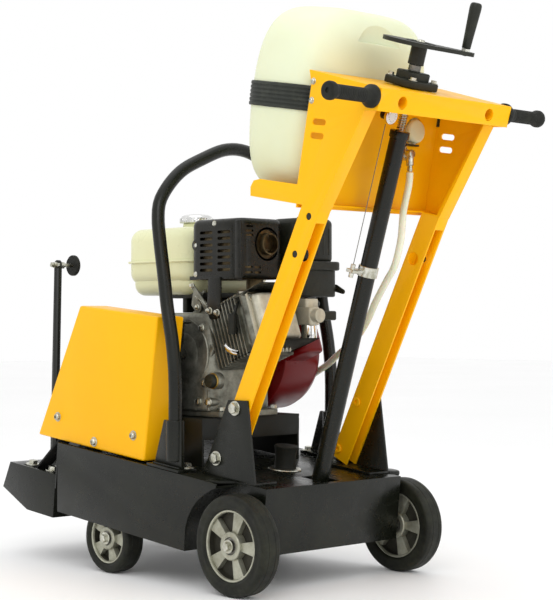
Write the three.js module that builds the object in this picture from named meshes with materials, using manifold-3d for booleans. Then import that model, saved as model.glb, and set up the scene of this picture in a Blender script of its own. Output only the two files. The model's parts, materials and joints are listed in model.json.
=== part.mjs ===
import * as THREE from 'three';
import { mergeVertices } from 'three/addons/utils/BufferGeometryUtils.js';
import Module from 'manifold-3d';

const wasm = await Module();
wasm.setup();

// main sizes, in mm
const REAR_WHEEL_R = 100;
const REAR_RIM_R = 70.5;
const FRONT_WHEEL_R = 74;
const FRONT_RIM_R = 54.5;
const TYRE_WIDTH = 48;
const REAR_TRACK = 476;          // between the middles of the rear tyres
const FRONT_TRACK = 438;
const WHEELBASE = 411.3;
const NOSE_UP = 5.7 * Math.PI / 180;
const DECK_TOP = 252;            // in the chassis frame
const DECK_HALF = 250;
const REAR_HALF = 196;
const LEG_OUT = 190;
const LEG_WIDE = 32;
const HANDLE_TILT = 16.4 * Math.PI / 180;
const SCREW_LEAN = 17.6 * Math.PI / 180;
const TANK_TILT = 9.7 * Math.PI / 180;
const CRANK_X = 303;
const CRANK_Z = 466;
const BLADE_GUARD_R = 205;
const GAP = 0.3;
const X_SHIFT = -279.4;

const root = new THREE.Group();
root.name = 'concrete_saw';
root.position.x = X_SHIFT;
const chassis = new THREE.Group();
chassis.position.set(WHEELBASE, 0, FRONT_WHEEL_R);
chassis.rotation.y = -NOSE_UP;
root.add(chassis);
const engine = new THREE.Group();
engine.position.set(CRANK_X, 0, CRANK_Z);
root.add(engine);
const screwLine = new THREE.Group();
screwLine.position.set(-212, 0, 910);
screwLine.rotation.y = -SCREW_LEAN;
root.add(screwLine);

const paints = {
  black: ['#151614', 0.25, 0.2],
  yellow: ['#f7b512', 0.35, 0.1],
  steel: ['#b9bab4', 0.35, 0.9],
  darkSteel: ['#4c4e4a', 0.45, 0.8],
  rubber: ['#161616', 0.85, 0],
  rim: ['#b5b7ad', 0.4, 0.8],
  natural: ['#e9ecc9', 0.5, 0],
  cream: ['#e6e2cd', 0.4, 0],
  castAluminium: ['#8d9088', 0.55, 0.6],
  red: ['#5a1512', 0.4, 0.1],
  plastic: ['#1c1d1c', 0.6, 0],
};

function put(parent, name, geometry, paint) {
  const [color, roughness, metalness] = paints[paint];
  const material = new THREE.MeshStandardMaterial({ color, roughness, metalness });
  const mesh = new THREE.Mesh(geometry, material);
  mesh.name = name;
  parent.add(mesh);
  return mesh;
}

// booleans
function bare(geometry) {
  const g = geometry.clone();
  for (const key of Object.keys(g.attributes)) {
    if (key !== 'position') g.deleteAttribute(key);
  }
  return mergeVertices(g, 1e-4);
}

function solid(geometry) {
  const g = bare(geometry);
  return new wasm.Manifold(new wasm.Mesh({
    numProp: 3,
    vertProperties: new Float32Array(g.attributes.position.array),
    triVerts: new Uint32Array(g.index.array),
  }));
}

// near-coincident corners are merged, so no sliver faces are left
const MERGE = 0.06;

function shape(body) {
  const mesh = body.simplify(MERGE).getMesh();
  const g = new THREE.BufferGeometry();
  g.setAttribute('position', new THREE.BufferAttribute(new Float32Array(mesh.vertProperties), 3));
  g.setIndex(new THREE.BufferAttribute(new Uint32Array(mesh.triVerts), 1));
  return g;
}

function union(...geometries) {
  let body = solid(geometries[0]);
  for (const g of geometries.slice(1)) body = body.add(solid(g));
  return shape(body);
}

function cut(geometry, ...tools) {
  let body = solid(geometry);
  for (const g of tools) body = body.subtract(solid(g));
  return shape(body);
}

// primitives by their limits
function block(x0, x1, y0, y1, z0, z1) {
  const g = new THREE.BoxGeometry(x1 - x0, y1 - y0, z1 - z0);
  return g.translate((x0 + x1) / 2, (y0 + y1) / 2, (z0 + z1) / 2);
}

function rodY(r, x, z, y0, y1, n = 18) {
  const g = new THREE.CylinderGeometry(r, r, y1 - y0, n);
  return g.translate(x, (y0 + y1) / 2, z);
}

function rodZ(r, x, y, z0, z1, n = 18, top = r) {
  const g = new THREE.CylinderGeometry(top, r, z1 - z0, n).rotateX(Math.PI / 2);
  return g.translate(x, y, (z0 + z1) / 2);
}

function rodX(r, y, z, x0, x1, n = 18) {
  const g = new THREE.CylinderGeometry(r, r, x1 - x0, n).rotateZ(Math.PI / 2);
  return g.translate((x0 + x1) / 2, y, z);
}

function outline(points) {
  return new THREE.Shape(points.map(([x, z]) => new THREE.Vector2(x, z)));
}

// a side profile in x and z, pulled from y0 to y1
function profile(points, y0, y1) {
  const g = new THREE.ExtrudeGeometry(outline(points), { depth: y1 - y0, bevelEnabled: false });
  return g.rotateX(Math.PI / 2).translate(0, y1, 0);
}

// a plan outline in x and y, pulled from z0 to z1
function plan(points, z0, z1) {
  const g = new THREE.ExtrudeGeometry(outline(points), { depth: z1 - z0, bevelEnabled: false });
  return g.translate(0, 0, z0);
}

function roundedPlan(x0, x1, y0, y1, r) {
  const s = new THREE.Shape();
  s.moveTo(x0 + r, y0);
  s.lineTo(x1 - r, y0);
  s.absarc(x1 - r, y0 + r, r, -Math.PI / 2, 0);
  s.lineTo(x1, y1 - r);
  s.absarc(x1 - r, y1 - r, r, 0, Math.PI / 2);
  s.lineTo(x0 + r, y1);
  s.absarc(x0 + r, y1 - r, r, Math.PI / 2, Math.PI);
  s.lineTo(x0, y0 + r);
  s.absarc(x0 + r, y0 + r, r, Math.PI, Math.PI * 1.5);
  return s;
}

// a box with rounded upright corners and softened top and bottom edges
function softBox(x0, x1, y0, y1, z0, z1, r, soft = r * 0.5, steps = 3) {
  const corner = Math.min(r, (x1 - x0) / 2 - 0.2, (y1 - y0) / 2 - 0.2) - soft;
  const s = roundedPlan(x0 + soft, x1 - soft, y0 + soft, y1 - soft, Math.max(corner, 0.5));
  const g = new THREE.ExtrudeGeometry(s, {
    depth: z1 - z0 - 2 * soft, bevelEnabled: true, bevelSize: soft, bevelThickness: soft,
    bevelSegments: Math.min(steps, 2), curveSegments: r > 22 ? 3 : 2,
  });
  return g.translate(0, 0, z0 + soft);
}

function lathe(points, n = 30) {
  const g = new THREE.LatheGeometry(points.map(([r, h]) => new THREE.Vector2(r, h)), n);
  return g;
}

function capsule(x0, z0, r0, x1, z1, r1, y0, y1, n = 7) {
  const along = Math.atan2(z1 - z0, x1 - x0);
  const far = Math.hypot(x1 - x0, z1 - z0);
  const lean = Math.acos((r0 - r1) / far);
  const points = [];
  for (let i = 0; i <= n; i++) {
    const a = along + lean + (2 * Math.PI - 2 * lean) * i / n;
    points.push([x0 + r0 * Math.cos(a), z0 + r0 * Math.sin(a)]);
  }
  for (let i = 0; i <= n; i++) {
    const a = along - lean + 2 * lean * i / n;
    points.push([x1 + r1 * Math.cos(a), z1 + r1 * Math.sin(a)]);
  }
  return profile(points, y0, y1);
}

function pipe(points, r, steps, sides) {
  const curve = new THREE.CatmullRomCurve3(points.map((p) => new THREE.Vector3(...p)), false, 'centripetal');
  const ring = new THREE.Shape();
  for (let i = 0; i < sides; i++) {
    const a = 2 * Math.PI * i / sides;
    const move = i ? 'lineTo' : 'moveTo';
    ring[move](r * Math.cos(a), r * Math.sin(a));
  }
  return new THREE.ExtrudeGeometry(ring, { extrudePath: curve, steps, bevelEnabled: false });
}

// a span on the left, or its mirror image on the right
const mirrored = (side, y0, y1) => (side > 0 ? [y0, y1] : [-y1, -y0]);

// ---- chassis, in the tilted frame measured from the front axle ----
const cx = (x) => x - WHEELBASE;
const cz = (z) => z - FRONT_WHEEL_R;
const inFrame = (points) => points.map(([x, z]) => [cx(x), cz(z)]);

const arch = [[147.5, 101], [149, 148], [143, 170], [133, 190], [119, 208], [101, 223], [84, 234], [66, 243]];

function chassisFrame() {
  const deck = plan([
    [-22, -REAR_HALF], [70, -REAR_HALF], [84, -228], [104, -DECK_HALF], [592, -DECK_HALF],
    [592, DECK_HALF], [104, DECK_HALF], [84, 228], [70, REAR_HALF], [-22, REAR_HALF],
  ].map(([x, y]) => [cx(x), y]), cz(DECK_TOP - 5), cz(DECK_TOP));
  const pieces = [block(cx(-22), cx(-18), -REAR_HALF, REAR_HALF, cz(118), cz(DECK_TOP - 1))];
  pieces.push(block(cx(588), cx(592), -DECK_HALF, DECK_HALF, cz(150), cz(DECK_TOP - 1)));
  for (const side of [-1, 1]) {
    const skirt = [[592, DECK_TOP - 1], [578, 101], ...arch, [66, DECK_TOP - 1]];
    pieces.push(profile(inFrame(skirt), ...mirrored(side, DECK_HALF - 4, DECK_HALF)));
    const liner = [...arch, ...arch.map(([x, z]) => [x + 4, z + 3]).reverse()];
    pieces.push(profile(inFrame(liner), ...mirrored(side, REAR_HALF - 4, DECK_HALF - 1)));
    pieces.push(block(cx(-22), cx(150), ...mirrored(side, REAR_HALF - 4, REAR_HALF), cz(200), cz(DECK_TOP - 1)));
    const rail = [
      [-19, 248], [-19, 205], [150, 158], [250, 140], [370, 130], [380, 52], [442, 52], [456, 130],
      [612, 138], [612, 170], [591, 176], [591, 248],
    ];
    pieces.push(profile(inFrame(rail), ...mirrored(side, 170, 176)));
  }
  pieces.push(softBox(cx(6), cx(40), -231, -197, cz(245), cz(257), 12, 4));
  pieces.push(block(cx(8), cx(38), -205, -190, cz(247), cz(251.5)));
  const frame = union(deck, ...pieces);
  const holes = [];
  holes.push(block(cx(-8), cx(58), -24, 24, cz(240), cz(260)));
  holes.push(block(cx(500), cx(600), 178, 240, cz(140), cz(260)));
  holes.push(rodY(10.6, cx(WHEELBASE), cz(FRONT_WHEEL_R), -200, 200, 14));
  holes.push(rodY(17, cx(209), cz(181), -200, 200, 16));
  return cut(frame, ...holes);
}

function noseHousing() {
  const outer = [[612.5, 176], [788, 176], [811, 115], [713, 79], [612.5, 79]];
  const inner = [[617, 172], [785, 172], [806, 117], [712, 70], [617, 70]];
  const box = profile(inFrame(outer), -205, 235);
  const ears = [];
  const ear = inFrame([[780, 165], [826, 165], [830, 150], [826, 135], [790, 128]]);
  for (const y of [78, 96]) ears.push(profile(ear, y, y + 6));
  const body = union(box, ...ears);
  return cut(
    body,
    profile(inFrame(inner), -200, 230),
    rodY(15.8, cx(700), cz(132), -220, -190, 14),
    block(cx(606), cx(750), 178, 226, cz(150), cz(190)),
    rodY(4.4, cx(817), cz(150), 70, 110, 10),
  );
}

function wheelRim(r, hub) {
  const half = TYRE_WIDTH / 2 - 4;
  const ring = lathe([
    [r - 6, -half], [r, -half], [r, half], [r - 6, half], [r - 6, -half],
  ], 32);
  const core = lathe([
    [10.5, -half - 2], [hub, -half - 2], [hub, half + 2], [10.5, half + 2], [10.5, -half - 2],
  ], 14);
  const web = lathe([[hub - 2, -4], [r - 4, -4], [r - 4, 4], [hub - 2, 4], [hub - 2, -4]], 14);
  const spokes = [];
  for (let i = 0; i < 5; i++) {
    const bar = plan([[hub - 3, -8], [r - 5, -12.5], [r - 5, 12.5], [hub - 3, 8]], -half + 5, half - 5);
    spokes.push(bar.rotateX(-Math.PI / 2).rotateY((i / 5) * 2 * Math.PI + 0.31));
  }
  return union(ring, core, web, ...spokes);
}

function tyre(r, rim) {
  const h = TYRE_WIDTH / 2;
  return lathe([
    [rim + GAP, -h + 3], [rim + 8, -h], [r - 7, -h], [r, -h + 9], [r, h - 9], [r - 7, h], [rim + 8, h],
    [rim + GAP, h - 3], [rim + GAP, -h + 3],
  ], 32);
}

function addWheel(name, x, y, z, r, rim, hub) {
  const t = put(root, `${name}_tyre`, tyre(r, rim), 'rubber');
  t.position.set(x, y, z);
  const w = put(root, `${name}_rim`, wheelRim(rim, hub), 'rim');
  w.position.set(x, y, z);
}

function frontAxle() {
  const parts = [rodY(10, 0, 0, -244, 244, 14)];
  for (const s of [-1, 1]) parts.push(rodY(16, 0, 0, ...mirrored(s, 177, 194.5), 14));
  return union(...parts);
}

// ---- rear axle carrier: swings about a tube under the deck ----
function rearAxle() {
  const pivot = [199.3, 160.1];
  const parts = [rodY(15, ...pivot, -182, 182, 16), rodY(10, 0, REAR_WHEEL_R, -264, 264, 14)];
  for (const s of [-1, 1]) {
    parts.push(capsule(0, REAR_WHEEL_R, 20, ...pivot, 24, ...mirrored(s, 128, 138)));
    parts.push(rodY(16, 0, REAR_WHEEL_R, ...mirrored(s, 137, 210), 14));
    parts.push(capsule(30, 145, 13, 72, 112, 17, ...mirrored(s, 19, 27)));
  }
  parts.push(block(52, 92, -130, 130, 98, 134));
  parts.push(rodY(7, 30, 145, -29, 29, 12));
  return union(...parts);
}

// ---- engine platform, level, with its rear lip turned down ----
const deckAt = (x) => 74 + 178 * Math.cos(NOSE_UP) + (x - 393.6) * Math.tan(NOSE_UP) + GAP;

function enginePlatform() {
  const top = block(205, 470, -133, 150, 326, 332.7);
  const face = roundedPlan(-133, 150, 288, 332.7, 12);
  const lip = new THREE.ExtrudeGeometry(face, { depth: 5, bevelEnabled: false });
  lip.rotateX(Math.PI / 2).rotateZ(Math.PI / 2);
  lip.translate(205, 0, 0);
  const sides = [[-133, -128], [145, 150]].map(([a, b]) => profile([
    [205.5, 330], [470, 330], [470, deckAt(470)], [205.5, deckAt(205.5)],
  ], a, b));
  return union(top, lip, ...sides);
}

function liftingHoop() {
  const y = 228;
  const leg = [[201, y, 262], [200, y, 340], [200.5, y, 420], [208, y, 486], [226, y, 569], [236, y, 630],
    [250, y, 708], [256, y - 1, 748], [260, y - 8, 782], [262, y - 30, 815], [263, 158, 852],
    [264, 95, 883], [264, 40, 904], [264, 0, 909]];
  const other = leg.slice(0, -1).reverse().map(([a, b, c]) => [a, -b, c]);
  const parts = [pipe([...leg, ...other], 14, 34, 10)];
  for (const s of [-1, 1]) {
    const web = [[176, 334], [231, 334], [262, deckAt(262) + 4], [176, deckAt(176) + 4]];
    const gusset = profile(web, ...mirrored(s, y - 4, y + 4));
    const base = [[168, deckAt(168)], [268, deckAt(268)], [268, deckAt(268) + 6], [168, deckAt(168) + 6]];
    const foot = profile(base, ...mirrored(s, y - 30, y + 20));
    parts.push(gusset, foot, rodZ(18.5, 201, s * y, 250, 334, 14));
  }
  return union(...parts);
}

// ---- handle frame ----
function handleBracket(side) {
  const plate = [[19, 379], [75, 379], [152, deckAt(152)], [-4, deckAt(-4)]];
  const parts = [profile(plate, ...mirrored(side, 190.5, 195.5))];
  const foot = [[-4, deckAt(-4)], [152, deckAt(152)], [152, deckAt(152) + 5], [-4, deckAt(-4) + 5]];
  parts.push(profile(foot, ...mirrored(side, 136, 195.5)));
  return union(...parts);
}

function alongTop(s0, s1, y0, y1, t0, t1) {
  const g = block(s0, s1, y0, y1, t0, t1);
  return g.rotateY(-HANDLE_TILT).translate(-338, 0, 962.6);
}

function handleFrame() {
  const w = LEG_OUT;
  const parts = [
    alongTop(0, 192.5, -w, w, -3, 0),
    alongTop(0, 3.5, -w, w, -42, 0),
    alongTop(0, 30, -w, w, -42, -38.5),
    profile([[-161, 1012], [-158, 1012], [-117, 800], [-111, 756], [-114, 756], [-120, 800]], -w + 2, w - 2),
    profile([[-131, 760], [14, 785], [14, 788], [-131, 763.5]], -w + 2, w - 2),
  ];
  for (const side of [-1, 1]) {
    const plate = [
      [-150.5, 1017.5], [-156, 990], [-117, 800], [-12, 817], [6, 815], [15, 803], [15, 785],
      [-131, 760], [-178, 752], [-292, 926], [-326, 923], [-338, 962],
    ];
    parts.push(profile(plate, ...mirrored(side, w - 4, w)));
    const rearEdge = [[-176.5, 747], [-168, 750], [-290, 931], [-294, 928]];
    parts.push(profile(rearEdge, ...mirrored(side, w - LEG_WIDE, w)));
    const leg = [[-131, 762], [129, 246], [86, 226], [-178, 752]];
    parts.push(profile(leg, ...mirrored(side, w - LEG_WIDE, w)));
  }
  const frame = union(...parts);
  const holes = [];
  for (const side of [-1, 1]) {
    const hollow = [[-125, 740], [130, 233], [90, 213], [-166, 722]];
    holes.push(profile(hollow, ...mirrored(side, w - LEG_WIDE + 3.5, w - 4)));
    for (const [x, z] of [[-148, 737], [-110, 666]]) {
      holes.push(rodY(7, x, z, ...mirrored(side, w - 8, w + 4), 10));
      if (z < 700) holes.push(rodY(14, x + 4, z, ...mirrored(side, w - LEG_WIDE - 4, w - 20), 12));
    }
    for (const [x, z] of [[-188, 913], [-182, 887]]) {
      holes.push(capsule(x, z, 6, x + 24, z + 4, 6, ...mirrored(side, w - 8, w + 4), 8));
    }
    const bore = rodX(12, side * 127, 0, -8, 12, 14).rotateY(-HANDLE_TILT).translate(-332, 0, 941.5);
    holes.push(bore);
  }
  holes.push(rodX(27.5, CAP[1], CAP[2], -170, -110, 20), rodX(14.5, TAP[1], TAP[2], -170, -110, 12));
  const bore = rodZ(13, 0, 0, -40, 130, 14).rotateY(-SCREW_LEAN).translate(-212, 0, 910);
  holes.push(bore);
  return cut(frame, ...holes);
}

function grip(side) {
  const g = lathe([
    [0, 0], [22, 0], [22, 10], [15, 15], [13.5, 22], [13, 60], [13.5, 100],
    [17, 108], [17, 117], [12, 120], [0, 120],
  ], 18);
  if (side < 0) g.rotateX(Math.PI);
  return g.translate(-315, side * (LEG_OUT + GAP), 950);
}

// ---- water tank and its fittings ----
const TANK = [-40, 971];

function tankShell() {
  const g = new THREE.SphereGeometry(1, 28, 14).rotateX(Math.PI / 2);
  const p = g.attributes.position;
  const v = new THREE.Vector3();
  const squash = (a, e) => (Math.abs(a) < 1e-6 ? 0 : Math.sign(a) * Math.abs(a) ** e);
  for (let i = 0; i < p.count; i++) {
    v.fromBufferAttribute(p, i);
    const level = Math.hypot(v.x, v.y) || 1e-9;
    const out = squash(Math.min(level, 1), 0.42);
    const up = squash(v.z, 0.5);
    const x = 101 * out * squash(v.x / level, 0.5);
    const y = 183 * out * squash(v.y / level, 0.42);
    const z = up > 0 ? 196 * up : 184 * up;
    const taper = 1 - 0.05 * Math.max(0, -z / 184) - 0.07 * Math.max(0, z / 196) ** 2;
    p.setXYZ(i, x * taper - 0.08 * Math.max(0, z) * 0.3, y * taper, z);
  }
  return cut(g, crankSweep());
}

// the round hollow that lets the turning crank pass the back of the tank
function crankSweep() {
  const g = rodZ(122, 0, 0, 160, 300, 40).rotateY(-SCREW_LEAN);
  return g.translate(-212 - TANK[0], 0, 910 - TANK[1]).rotateY(TANK_TILT);
}

const tankPlace = (mesh) => {
  mesh.position.set(TANK[0], 0, TANK[1]);
  mesh.rotation.y = -TANK_TILT;
  return mesh;
};

function superRing(a, b, grow) {
  const points = [];
  for (let i = 0; i < 32; i++) {
    const t = 2 * Math.PI * i / 32;
    const sq = (c, e) => Math.sign(c) * Math.abs(c) ** e;
    points.push([(a + grow) * sq(Math.cos(t), 0.5), (b + grow) * sq(Math.sin(t), 0.42)]);
  }
  return points;
}

function tankStrap() {
  const outer = plan(superRing(101, 183, 4), -14, 35);
  const inner = plan(superRing(101, 183, 0.8), -20, 40);
  return cut(outer, inner, block(-130, -95, -200, 200, -30, 50));
}

const CAP = [-136.4, -118, 924];
const TAP = [-147, -84, 874];

function tankCap() {
  return lathe([[0, 0], [25, 0], [25, 15], [22, 19], [0, 19]], 24).rotateZ(Math.PI / 2);
}

function waterTap() {
  return union(
    rodX(9, 0, 0, -24, 18, 12), rodX(13, 0, 0, -9, 9, 6), rodZ(6, 0, 0, 6, 17, 10),
    rodZ(8, -16, 0, -24, 0, 12), rodZ(5.5, -16, 0, -36, -20, 10),
  );
}

function tapLever() {
  return union(rodZ(8, 0, 0, 17.4, 23, 12), block(-6, 6, -42, 0, 18.5, 22.5));
}

const HOSE = [
  [-163, -84, 836.8], [-160, -84, 812], [-147, -82, 757], [-142, -80, 702], [-122, -82, 647], [-100, -85, 621],
  [-62, -90, 574], [-33, -100, 541], [20, -122, 502], [117, -165, 463], [170, -188, 441], [222, -203, 421],
  [289, -212, 391], [366, -220, 367], [450, -236, 356], [520, -262, 372], [562, -278, 386],
  [590, -279, 378], [600, -279, 366],
];

function waterHose() {
  return pipe(HOSE, 7.4, 34, 8);
}

// ---- depth screw, nut tube and gauge: z runs up the screw, 0 is the tube's upper end ----
function nutTube() {
  const end = -802.6;
  const body = union(
    rodZ(17.5, 0, 0, end + 12, 0, 18), rodY(17.4, 0, end, -17.5, 17.5, 16),
    rodZ(20, 0, 0, -14, 0, 18),
    rodZ(20.5, 0, 0, -298, -276, 16), block(-10, 10, 16, 54, -292, -282), rodX(5, 46, -287, -14, 14, 8),
  );
  return cut(body, rodZ(10.4, 0, 0, -360, 10, 14), capsule(-4.3, end, 8.1, 0.3, end, 8, -30, 30, 6));
}

function depthScrew() {
  return union(rodZ(9, 0, 0, -250, 172, 14), rodZ(12.5, 0, 0, 119.5, 131, 14));
}

function crankPlate() {
  const arm = capsule(-20, 0, 56, 100, 0, 19, 0, 8, 12).rotateX(Math.PI / 2).translate(0, 0, 168);
  const hub = rodZ(16, 0, 0, 131.5, 170, 16);
  const nut = rodZ(9.5, 100, 0, 175, 181, 6);
  const turn = -(Math.PI / 2 + 21.5 * Math.PI / 180);
  const bores = [rodZ(9.3, 0, 0, 120, 172.4, 14), rodZ(4.6, 100, 0, 166, 190, 12)];
  return cut(union(arm, hub, nut), ...bores).rotateZ(turn);
}

function crankGrip() {
  const g = lathe([
    [0, 166.5], [4, 166.5], [4, 181.3], [8.6, 181.3], [9.4, 200], [11, 235], [12, 262], [11, 270], [0, 272],
  ], 14).rotateX(Math.PI / 2);
  const turn = -(Math.PI / 2 + 21.5 * Math.PI / 180);
  return g.translate(100, 0, 0).rotateZ(turn);
}

function spindleBearing() {
  const base = softBox(-40, 40, -40, 40, 87.5, 103, 10, 2, 1);
  const boss = softBox(-27, 27, -27, 27, 100, 119, 14, 3, 2);
  return cut(union(base, boss), rodZ(12.8, 0, 0, 80, 125, 14));
}

function depthGauge() {
  const body = union(rodX(15, 46, 27, -14, -4, 16), rodX(9, 46, 27, -5, 12, 12), block(-2, 10, 41, 51, 34, 48));
  return body;
}

function gaugeWire() {
  return rodZ(0.8, 0, 46, -281.5, 10, 8);
}

// ---- belt drive ----
const DRIVE = [
  WHEELBASE + (CRANK_X - WHEELBASE) * Math.cos(NOSE_UP) + (CRANK_Z - FRONT_WHEEL_R) * Math.sin(NOSE_UP),
  FRONT_WHEEL_R - (CRANK_X - WHEELBASE) * Math.sin(NOSE_UP) + (CRANK_Z - FRONT_WHEEL_R) * Math.cos(NOSE_UP),
];
const BLADE = [700, 132];

function pulley(r, y0, y1) {
  const w = (y1 - y0) / 2;
  const points = [[5, y0]];
  for (let i = 0; i < 2; i++) {
    const a = y0 + i * w;
    points.push([r, a], [r, a + 1.8], [r - 7, a + w / 2], [r, a + w - 1.8]);
  }
  points.push([r, y1], [5, y1], [5, y0]);
  return lathe(points, 18);
}

function crankshaftPulley() {
  return union(pulley(38, 182, 222), rodY(12.5, 0, 0, 118.6, 226, 12), rodY(26, 0, 0, 150, 184, 14));
}

function bladeShaft() {
  return union(pulley(32, 182, 222), rodY(15, 0, 0, -270, 228, 14), rodY(23, 0, 0, -226, -205.8, 14),
    rodY(48, 0, 0, -266, -257, 22), rodY(25, 0, 0, -258, -225, 14), rodY(30, 0, 0, 165, 183, 14),
    rodY(9, 0, 0, -294, -269, 12));
}

function bladeFlange() {
  const g = union(rodY(48, 0, 0, -278, -270.4, 22), rodY(26, 0, 0, -284, -277, 16), rodY(16, 0, 0, -291, -283, 6));
  return cut(g, rodY(15.5, 0, 0, -270.6, -260, 14), rodY(9.5, 0, 0, -296, -260, 12));
}

function driveBelt() {
  const loop = (grow, y0, y1) => capsule(
    cx(DRIVE[0]), cz(DRIVE[1]), 38.6 + grow, cx(BLADE[0]), cz(BLADE[1]), 32.6 + grow, y0, y1, 20,
  );
  return cut(loop(4.5, 184, 220), loop(0, 180, 224));
}

function beltGuard() {
  const side = [[291, 560], [556, 558], [680, 256], [304, 256]];
  const inside = [[294, 557], [554, 555], [679.7, 250], [307, 250]];
  return cut(profile(inFrame(side), 166, 240), profile(inFrame(inside), 160, 237.5));
}

function beltBackPlate() {
  const plate = [[297, 548], [552, 548], [668, 262], [704, 180], [620, 180], [592.5, 256], [304, 256]];
  const lips = [
    profile(inFrame([[552, 548], [556, 548], [673, 262], [708, 180], [704, 180], [668, 262]]), 140, 163),
    profile(inFrame([[297, 548], [556, 548], [556, 544], [297, 544]]), 140, 163),
  ];
  const body = union(profile(inFrame(plate), 158.5, 163), ...lips);
  return cut(body, rodY(30, cx(DRIVE[0]), cz(DRIVE[1]), 130, 170, 16));
}

// ---- blade guard, round the blade shaft on the right ----
function guardShell(from, to, r) {
  const ring = (radius, start, end) => {
    const points = [[0, 0]];
    for (let i = 0; i <= 16; i++) {
      const a = (start + (end - start) * i / 16) * Math.PI / 180;
      points.push([radius * Math.cos(a), radius * Math.sin(a)]);
    }
    return points;
  };
  const outer = profile(ring(r, from, to), -306, -251);
  const inner = profile(ring(r - 3, from - 10, to + 10), -303, -254);
  return cut(outer, inner, rodY(62, 0, 0, -310, -240, 18));
}

// the guard's fixed part, with the water inlet the hose is pushed onto
function guardBody() {
  const inlet = rodX(6, -279, 0, 203.5, 220.5, 10).rotateY(-108.6 * Math.PI / 180);
  return union(guardShell(62, 200, BLADE_GUARD_R), inlet);
}

// ---- pointer ----
function pointerArm() {
  const arm = capsule(cx(817), cz(150), 11, cx(850), cz(629), 10, 85, 93, 8);
  return cut(union(arm, rodY(4, cx(817), cz(150), 76, 104, 10)), rodY(5.3, cx(849.4), cz(627), 70, 110, 10));
}

function pointerRoller() {
  return union(rodY(25, 0, 0, 40, 50, 18), rodY(5, 0, 0, 36, 110, 10), rodY(9, 0, 0, 74, 84.6, 6));
}

function wingNut() {
  const g = union(rodY(8, 0, 0, 93.4, 103, 10), block(-17, 17, 96, 99.5, -3, 6));
  return cut(g, rodY(5.3, 0, 0, 85, 120, 10));
}

// ---- engine, measured from its crankshaft ----
function engineBlock() {
  const lean = 20 * Math.PI / 180;
  const foot = softBox(-112, 122, -62, 108, -132.9, -119, 14, 1, 1);
  const crankcase = softBox(-92, 98, -62, 117.5, -122, 88, 34, 8, 1);
  const boss = rodY(46, 0, 0, 105, 118.2, 18);
  const tilted = (g) => g.rotateY(lean);
  const cylinder = [block(-196, -40, -6, 104, -50, 46)];
  for (let i = 0; i < 6; i++) {
    const x = -94 - i * 15;
    cylinder.push(block(x - 2, x + 2, -20, 112, -68, 66));
  }
  cylinder.push(softBox(-216, -190, -12, 110, -62, 60, 14, 3, 1));
  return union(foot, crankcase, boss, tilted(union(...cylinder)));
}

function valveCover() {
  return softBox(-247, -216.4, 0, 104, -50, 50, 16, 8, 2).rotateY(20 * Math.PI / 180);
}

function fanCover() {
  const shell = lathe([
    [0, -204], [44, -204], [84, -196], [118, -178], [126, -160], [126, -64], [0, -64],
  ], 26);
  const hood = softBox(-175, -20, -132, -64, -58, 60, 20, 8, 2).rotateY(20 * Math.PI / 180);
  return union(shell, hood);
}

function fuelTank() {
  const upper = softBox(12, 242, -170, 90, 200, 276, 44, 24, 3);
  const lower = softBox(20, 234, -162, 82, 126, 202, 40, 22, 3);
  const seam = new THREE.ExtrudeGeometry(roundedPlan(7, 247, -175, 95, 46), { depth: 5, bevelEnabled: false, curveSegments: 4 });
  const neck = rodZ(31, 138, -40, 270, 290, 18);
  const legs = [];
  for (const x of [30, 80]) legs.push(block(x, x + 14, -60, 40, 88.4, 132));
  return union(upper, lower, seam.translate(0, 0, 198.5), neck, ...legs);
}

function fuelCap() {
  const g = lathe([[0, 290.4], [39, 290.4], [39, 302], [35, 308], [20, 311], [0, 311]], 24).rotateX(Math.PI / 2);
  return g.translate(138, -40, 0);
}

function muffler() {
  const body = softBox(-168, -10, -22, 100, 158, 272, 26, 12, 3);
  const pipe0 = rodX(23, 33, 232, -182, -160, 16);
  const flangePipe = rodZ(18, -140, 40, 132, 162, 12);
  const flange = softBox(-168, -112, 12, 68, 127.5, 134, 10, 1, 1);
  return cut(union(body, pipe0, flangePipe, flange), rodX(19.5, 33, 232, -190, -150, 16));
}

function mufflerShield() {
  const outer = softBox(-171, -4, -24, 108, 154, 286, 28, 14, 1);
  const inner = softBox(-168.6, -6, -60, 105.6, 130, 283.4, 26, 12, 1);
  return cut(outer, inner, rodX(31, 33, 232, -190, -150, 18));
}

function airCleaner() {
  return union(
    softBox(-203, -105, -146, -28, 194, 290, 30, 12, 3),
    softBox(-214, -98, -156, -26, 178, 198, 26, 4, 1),
    softBox(-206, -112, -146, -40, 122, 182, 18, 4, 1),
    rodZ(9, -150, -86, 286, 296, 10),
  );
}

function carburetor() {
  return union(
    block(-232, -188, -64, -34, 62, 100), rodZ(17, -212, -50, 26, 64, 14), rodX(15, -50, 82, -246, -176, 12),
    softBox(-236, -184, -112, -62, 72, 92, 8, 3, 1), block(-214, -170, -78, -40, 92, 118),
  );
}

function sparkCap() {
  return union(rodZ(9, -160, 122, 44, 86, 10), rodY(8, -160, 52, 112.6, 122, 10));
}

function oilCap() {
  return union(rodY(15, -96, -55, 118, 132, 8), rodY(9, -96, -55, 117.8, 119, 8));
}

function lever(x, z, face, length, angle) {
  const bar = capsule(0, 0, 8, length, 0, 5, 0, 4, 5).rotateY(-angle).translate(x, face - 9, z);
  return union(bar, rodY(5, x, z, face - 7, face - 0.4, 10));
}

function recoilHandle() {
  const g = softBox(-38, 38, -13, 13, -9, 9, 9, 5, 2).rotateY(-0.64).translate(-78, -176, 124);
  return g;
}

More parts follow.
